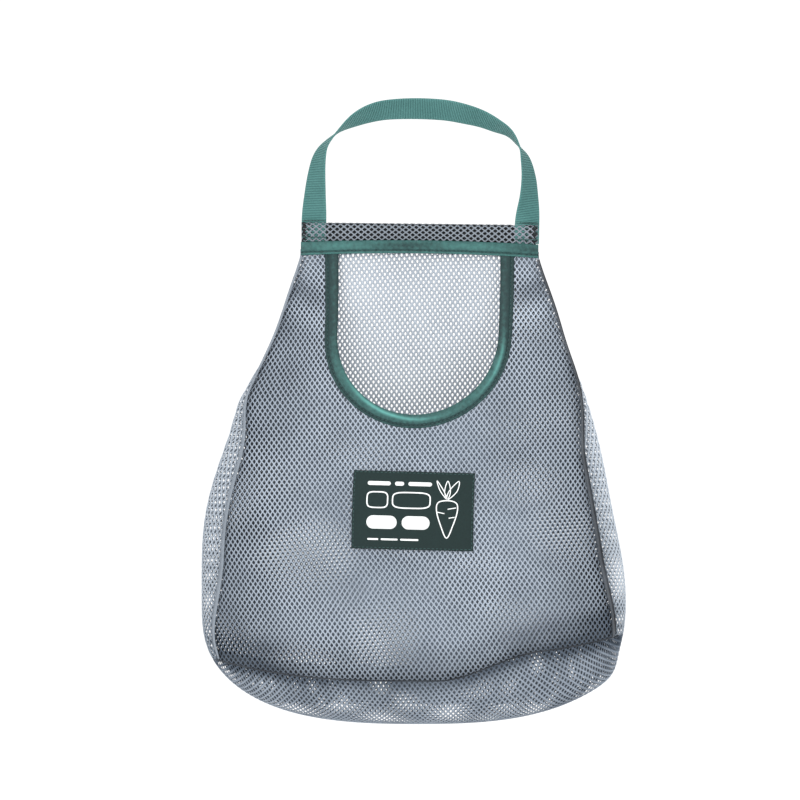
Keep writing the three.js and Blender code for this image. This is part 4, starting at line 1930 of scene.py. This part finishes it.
@dataclass
class WovenLabel:
    """A dark woven label sewn on the front, with raised bars and a carrot in place of its wording."""

    form: BagForm
    finishes: Finishes
    tilt: float = math.radians(-1.36)
    shift: float = 1.4 * MM
    lift: float = 1.25 * MM
    thick: float = 0.5 * MM
    outline_width: float = 0.85 * MM
    stitch_inset: float = 1.0 * MM
    sewing: Sewing = Sewing(1.9 * MM, 0.4 * MM, 2.6 * MM)
    half: Array = field(init=False)
    middle: Array = field(init=False)

    def __post_init__(self) -> None:
        """Reads the label's half sizes and its middle from the frame."""
        low, high = (np.array([corner[0], corner[2]]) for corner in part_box("label"))
        self.half, self.middle = (high - low) / 2, (low + high) / 2

    def build(self) -> None:
        """Builds the label, its marks and its stitches."""
        self._patch()
        self._print()
        self._stitches()

    def _frame(self, u: Array, v: Array) -> tuple[Array, Array]:
        """Points and directions on the label, with u to the right and v up from its middle.

        Args:
            u: places to the right.
            v: places upwards.

        Returns:
            The points and the outward directions.
        """
        c, s = math.cos(self.tilt), math.sin(self.tilt)
        x = self.middle[0] + self.shift + u * c - v * s
        z = self.middle[1] + u * s + v * c
        return self.form.front_frame(x, z)

    def _patch(self) -> None:
        """Makes the label's cloth, folded in at its ends."""
        nx, nz = 81, 53
        u = np.linspace(-1, 1, nx) * self.half[0]
        v = np.linspace(-1, 1, nz) * self.half[1]
        us, vs = np.meshgrid(u, v, indexing="ij")
        point, out = self._frame(us, vs)
        hem = hump(np.abs(us), self.half[0] - 2.6 * MM, 0.5 * MM)
        round_off = 1 - np.maximum(np.abs(us) / self.half[0], np.abs(vs) / self.half[1]) ** 60
        rise = self.lift - 0.12 * MM * hem
        outer = point + out * (rise + self.thick / 2 * round_off)[..., None]
        inner = point + out * (rise - self.thick / 2 * round_off - 0.02 * MM)[..., None]
        grid = np.arange(nx * nz).reshape(nx, nz)
        quads = np.stack([grid[:-1, :-1], grid[1:, :-1], grid[1:, 1:], grid[:-1, 1:]], -1).reshape(-1, 4)
        under = quads[:, ::-1] + nx * nz
        rim = np.concatenate([grid[:, 0], grid[-1, 1:], grid[-2::-1, -1], grid[0, -2:0:-1]])
        after = np.roll(rim, -1)
        wall = np.stack([after, rim, rim + nx * nz, after + nx * nz], -1)
        points = np.concatenate([outer.reshape(-1, 3), inner.reshape(-1, 3)])
        uv = np.tile(np.stack([us, vs], -1).reshape(-1, 2), (2, 1))
        piece = make_object("label_cloth", points, [quads, under, wall], self.finishes.label, None, uv)
        tuple(2 * self.half)
        dress(piece, "woven_label", "label")

    def _stroke(self, line: Array, width: Array, shut: bool) -> tuple[Array, list[Array]]:
        """A raised line of thread on the label.

        Args:
            line: its middle, in the label's own metres.
            width: its width at each point.
            shut: whether its end joins its start.

        Returns:
            Its points and faces.
        """
        if shut:
            way = np.roll(line, -1, axis=0) - np.roll(line, 1, axis=0)
        else:
            way = np.gradient(line, axis=0)
        side = unit(np.stack([-way[:, 1], way[:, 0]], -1)) * (width / 2)[:, None]
        rise = self.lift + self.thick / 2
        corners = []
        for sign, level in ((1, 0.09), (-1, 0.09), (-1, -0.1), (1, -0.1)):
            spot = line + sign * side
            point, out = self._frame(spot[:, 0], spot[:, 1])
            corners.append(point + out * (rise + level * MM))
        points = np.stack(corners, 1).reshape(-1, 3)
        count = len(line)
        start = np.arange(count if shut else count - 1)[:, None] * 4
        after = (start + 4) % (4 * count)
        k = np.arange(4)[None]
        k_next = (k + 1) % 4
        quads = np.stack([start + k_next, start + k, after + k, after + k_next], -1).reshape(-1, 4)
        faces = [quads]
        if not shut:
            faces += [np.array([[0, 1, 2, 3]]), np.array([[3, 2, 1, 0]]) + 4 * (count - 1)]
        return points, faces

    def _bar(self, left: float, right: float, foot: float, top: float) -> tuple[Array, Array]:
        """A bar with round ends.

        Args:
            left: its left end, in the label's own metres, as the others.
            right: its right end.
            foot: its lower edge.
            top: its upper edge.

        Returns:
            Its middle line and its width at each point.
        """
        tall = top - foot
        turn = np.linspace(0.12, math.pi / 2, 7)
        cap = tall / 2 * (1 - np.cos(turn))
        body = np.arange(left + tall, right - tall, 1.5 * MM)
        u = np.concatenate([left + cap, body, (right - cap)[::-1]])
        ends = tall * np.sin(turn)
        width = np.concatenate([ends, np.full(len(body), tall), ends[::-1]])
        return np.stack([u, np.full_like(u, (foot + top) / 2)], -1), width

    def _print(self) -> None:
        """Lays plain bars and the carrot on the label."""
        size = 2 * self.half
        rows = (
            (0.135, 0.185, ((0.12, 0.31), (0.345, 0.42), (0.455, 0.65))),
            (0.57, 0.74, ((0.12, 0.37), (0.41, 0.64))),
            (0.862, 0.885, ((0.13, 0.22), (0.24, 0.38), (0.40, 0.55))),
        )
        strokes = []
        for top, foot, bars in rows:
            low, high = (0.5 - foot) * size[1], (0.5 - top) * size[1]
            for left, right in bars:
                bar = self._bar((left - 0.5) * size[0], (right - 0.5) * size[0], low, high)
                strokes.append((*bar, False))
        for left, right in ((0.12, 0.29), (0.33, 0.64)):
            middle = (np.array([(left + right) / 2, 0.63]) - 0.5) * size
            reach = np.array([(right - left) / 2 * size[0], 0.1 * size[1]])
            turn = np.linspace(0, 2 * math.pi, 40, endpoint=False)
            circle = np.stack([np.cos(turn), np.sin(turn)], -1)
            round_box = np.sign(circle) * np.abs(circle) ** 0.5
            strokes.append((middle + round_box * reach, np.full(len(turn), self.outline_width), True))
        strokes += self._carrot(size)
        points, faces, base = [], [], 0
        for line, width, shut in strokes:
            p, f = self._stroke(line, width, shut)
            faces += [g + base for g in f]
            points.append(p)
            base += len(p)
        piece = make_object("label_marks", np.concatenate(points), faces, self.finishes.print_thread)
        dress(piece, "woven_label")

    def _carrot(self, size: Array) -> list[tuple[Array, Array, bool]]:
        """Draws a carrot: a tapered root with growth lines and three leaves.

        Args:
            size: the label's width and height.

        Returns:
            Each stroke's middle line and widths, and whether it is shut.
        """
        centre = np.array([0.28, 0.02])
        root = np.array([(0.0, -0.36), (0.05, -0.2), (0.085, -0.02), (0.075, 0.09), (0.0, 0.12),
                         (-0.075, 0.09), (-0.085, -0.02), (-0.05, -0.2)])
        shapes = [(smooth_loop(root, 6), 0.75, True)]
        for level, start, length in ((0.03, 0.075, -0.07), (-0.09, 0.065, -0.05), (-0.03, -0.08, 0.06)):
            x = np.linspace(start, start + length, 5)
            shapes.append((np.stack([x, level - 0.02 * np.abs(x - start) / 0.07], -1), 0.6, False))
        for lean in (-0.09, 0.0, 0.09):
            sides = (lean * 0.4 - 0.024, 0.24), (lean * 0.6 + 0.024, 0.24)
            leaf = np.array([(0.0, 0.13), sides[0], (lean, 0.37), sides[1]])
            shapes.append((smooth_loop(leaf, 5), 0.6, True))
        return [((line + centre) * size, np.full(len(line), w * MM), shut) for line, w, shut in shapes]

    def _stitches(self) -> None:
        """Sews round the label, near its edge."""
        a, b = self.half - self.stitch_inset
        corners = np.array([(-a, -b), (a, -b), (a, b), (-a, b), (-a, -b)])
        spots, ways = [], []
        for start, end in zip(corners[:-1], corners[1:]):
            length = np.linalg.norm(end - start)
            count = int(length / self.sewing.pitch)
            t = (np.arange(count) + 0.5) / count
            spots.append(start + t[:, None] * (end - start))
            ways.append(np.tile((end - start) / length, (len(t), 1)))
        spots, ways = np.concatenate(spots), np.concatenate(ways)
        point, out = self._frame(spots[:, 0], spots[:, 1])
        ahead, _ = self._frame(spots[:, 0] + ways[:, 0] * MM, spots[:, 1] + ways[:, 1] * MM)
        places = point + out * (self.lift + self.thick / 2 + 0.05 * MM)
        thread = self.finishes.dark_thread
        self.sewing.sew("label_stitches", places, ahead - point, out, thread, "label_thread")


@dataclass
class Seams:
    """The overlocked seam edges inside the bag's sides and bottom."""

    form: BagForm
    finishes: Finishes
    deep: float = 5.2 * MM
    seam_lap: float = 3.0 * MM

    def build(self) -> None:
        """Builds the two side seams and the two bottom seams."""
        for sign, tag in ((-1, "left"), (1, "right")):
            z = np.linspace(self.form.header_foot - 1 * MM, self._side_foot(sign) + self.seam_lap, 220)
            turn = self.form.seam_turn(z) * sign
            point = self.form.settle(self.form.even_point(turn, z, Side.FRONT))
            turned = np.array([-sign, 0.0, 0.0])
            # Painted shade: the left seam's edge is painted pale with a low ridge, the right one
            # near-black.
            proud, tone = (0.2, 0.75) if sign < 0 else (0.9, 0.08)
            self._edge(f"side_seam_edge_{tag}", point, turned, f"{tag}_side_seam", proud, tone)
        for side in Side:
            angle = np.linspace(-1, 1, 260) * math.radians(78)
            z = self.form.rim(-side.value * np.sin(angle))
            point = self.form.settle(self.form.even_point(angle, z, side))
            tag = side.name.lower()
            up = np.array([0.0, 0.0, 1.0])
            # The bottom seams' edges are painted near-black shade.
            self._edge(f"bottom_seam_edge_{tag}", point, up, f"{tag}_bottom_seam", 0.9, 0.05)

    def _side_foot(self, sign: int) -> float:
        """Height where a side seam meets the bottom seam.

        Args:
            sign: -1 at the left and 1 at the right.

        Returns:
            The height.
        """
        z = self.form.belly_z
        for _ in range(20):
            z = float(self.form.rim(sign * np.sin(self.form.seam_turn(np.array(z)))))
        return z

    def _edge(self, name: str, line: Array, toward: Array, node: str, proud: float, tone: float) -> None:
        """Makes one turned-in edge, lying inside the cloth.

        Args:
            name: the piece's name.
            line: the seam's line.
            toward: roughly where the edge is turned to.
            node: the CAD node that it stands for.
            proud: how far its ridge shows, as a share of the full ridge.
            tone: its painted shade, from near-black at 0 to pale at 1.
        """
        tangent = unit(np.gradient(line, axis=0))
        core = np.stack([line[:, 0] * 0.55, np.full(len(line), self.form.mid_y), line[:, 2]], -1)
        inward = unit(core - line)
        inward = unit(inward - tangent * (inward * tangent).sum(axis=1, keepdims=True))
        across = unit(np.cross(tangent, inward))
        across *= np.sign((across * toward).sum(axis=1, keepdims=True))
        outline = np.array([
            (-0.6 * proud, 0.1), (-0.45 * proud, -0.5 * proud), (0.1, -0.7 * proud),
            (0.6 * proud, -0.5 * proud), (1.0, 0.2), (self.deep / MM, 0.5), (self.deep / MM, 1.4),
            (0.9, 1.3), (-0.3, 0.8),
        ])
        u, v = (smooth_loop(outline, 2) * MM).T
        wave = 0.2 * MM * np.sin(np.arange(len(line)) * 1.9)[:, None] * ease(u, 0, self.deep)
        rings = (
            line[:, None]
            + across[:, None] * (u[None] + wave)[..., None]
            + inward[:, None] * v[None, :, None]
        )
        # Painted shade, a little paler towards the turned edge's far side.
        shade = np.broadcast_to(tone + 0.12 * ease(u, 1.2 * MM, self.deep), rings.shape[:2])
        piece = loft(name, rings, self.finishes.seam, shade)
        length = float(np.linalg.norm(np.diff(line, axis=0), axis=1).sum())
        flat = (2 * self.deep, length)
        1.15 * self.deep * length
        dress(piece, "seam_edge", node)


@dataclass
class Studio:
    """A pale floor, a bright even room, soft lamps and the camera."""

    form: BagForm
    finishes: Finishes
    floor_gap: float = 0.12
    room_light: float = 1.1
    lens: float = 170.0
    distance: float = 2.48
    floor_radius: float = 4.0
    aim: tuple[float, float, float] = (0.0, 0.0, -0.2)
    lamps: tuple[Lamp, ...] = (
        ("key", (-0.7, -1.1, 0.45), 9.0, 0.9),
        ("fill", (0.9, -0.9, -0.1), 4.0, 1.1),
        ("top", (0.0, 0.3, 0.9), 5.0, 0.8),
    )
    aside: float = -11.5 * MM
    level: float = -190.6 * MM

    def build(self) -> None:
        """Builds the floor, light and camera."""
        bpy.ops.object.select_all(action="DESELECT")
        level = self.form.lowest - self.floor_gap
        bpy.ops.mesh.primitive_circle_add(vertices=64, radius=self.floor_radius, fill_type="NGON")
        floor = bpy.context.object
        floor.name = "floor"
        for vertex in floor.data.vertices:
            vertex.co.z = level
        floor.data.materials.append(self.finishes.floor)
        world = bpy.data.worlds.new("bright room")
        world.use_nodes = True
        back = world.node_tree.nodes["Background"]
        back.inputs["Color"].default_value = (1, 1, 1, 1)
        back.inputs["Strength"].default_value = self.room_light
        bpy.context.scene.world = world
        for name, place, watts, size in self.lamps:
            self._lamp(name, place, watts, size)
        self._camera()
        bpy.context.scene.view_settings.view_transform = "Standard"

    def _lamp(self, name: str, place: tuple[float, float, float], watts: float, size: float) -> None:
        """Adds a soft lamp aimed at the bag.

        Args:
            name: the lamp's name.
            place: where it stands.
            watts: its power.
            size: its width, in metres.
        """
        data = bpy.data.lights.new(name, "AREA")
        data.energy, data.size = watts, size
        lamp = bpy.data.objects.new(name, data)
        lamp.location = place
        aim = Vector(self.aim) - Vector(place)
        lamp.rotation_euler = aim.to_track_quat("-Z", "Y").to_euler()
        bpy.context.scene.collection.objects.link(lamp)

    def _camera(self) -> None:
        """Sets a long lens level with the bag's middle, facing its front."""
        data = bpy.data.cameras.new("camera")
        data.lens, data.sensor_width = self.lens, 36.0
        camera = bpy.data.objects.new("camera", data)
        camera.location = (self.aside, -self.distance, self.level)
        camera.rotation_euler = (math.pi / 2, 0, 0)
        bpy.context.scene.collection.objects.link(camera)
        bpy.context.scene.camera = camera


def main() -> None:
    """Builds the bag's looks over the frame, piece by piece."""
    logging.basicConfig(level=logging.INFO, format="%(message)s")
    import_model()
    form = BagForm.from_frame()
    mouth = Mouth.from_frame(form)
    finishes = Finishes.make()
    NetPanels(form, mouth, finishes).build()
    Header(form, finishes).build()
    MouthBinding(form, mouth, finishes).build()
    Handle(form, finishes).build()
    WovenLabel(form, finishes).build()
    Seams(form, finishes).build()
    Studio(form, finishes).build()


if __name__ == "__main__":
    main()
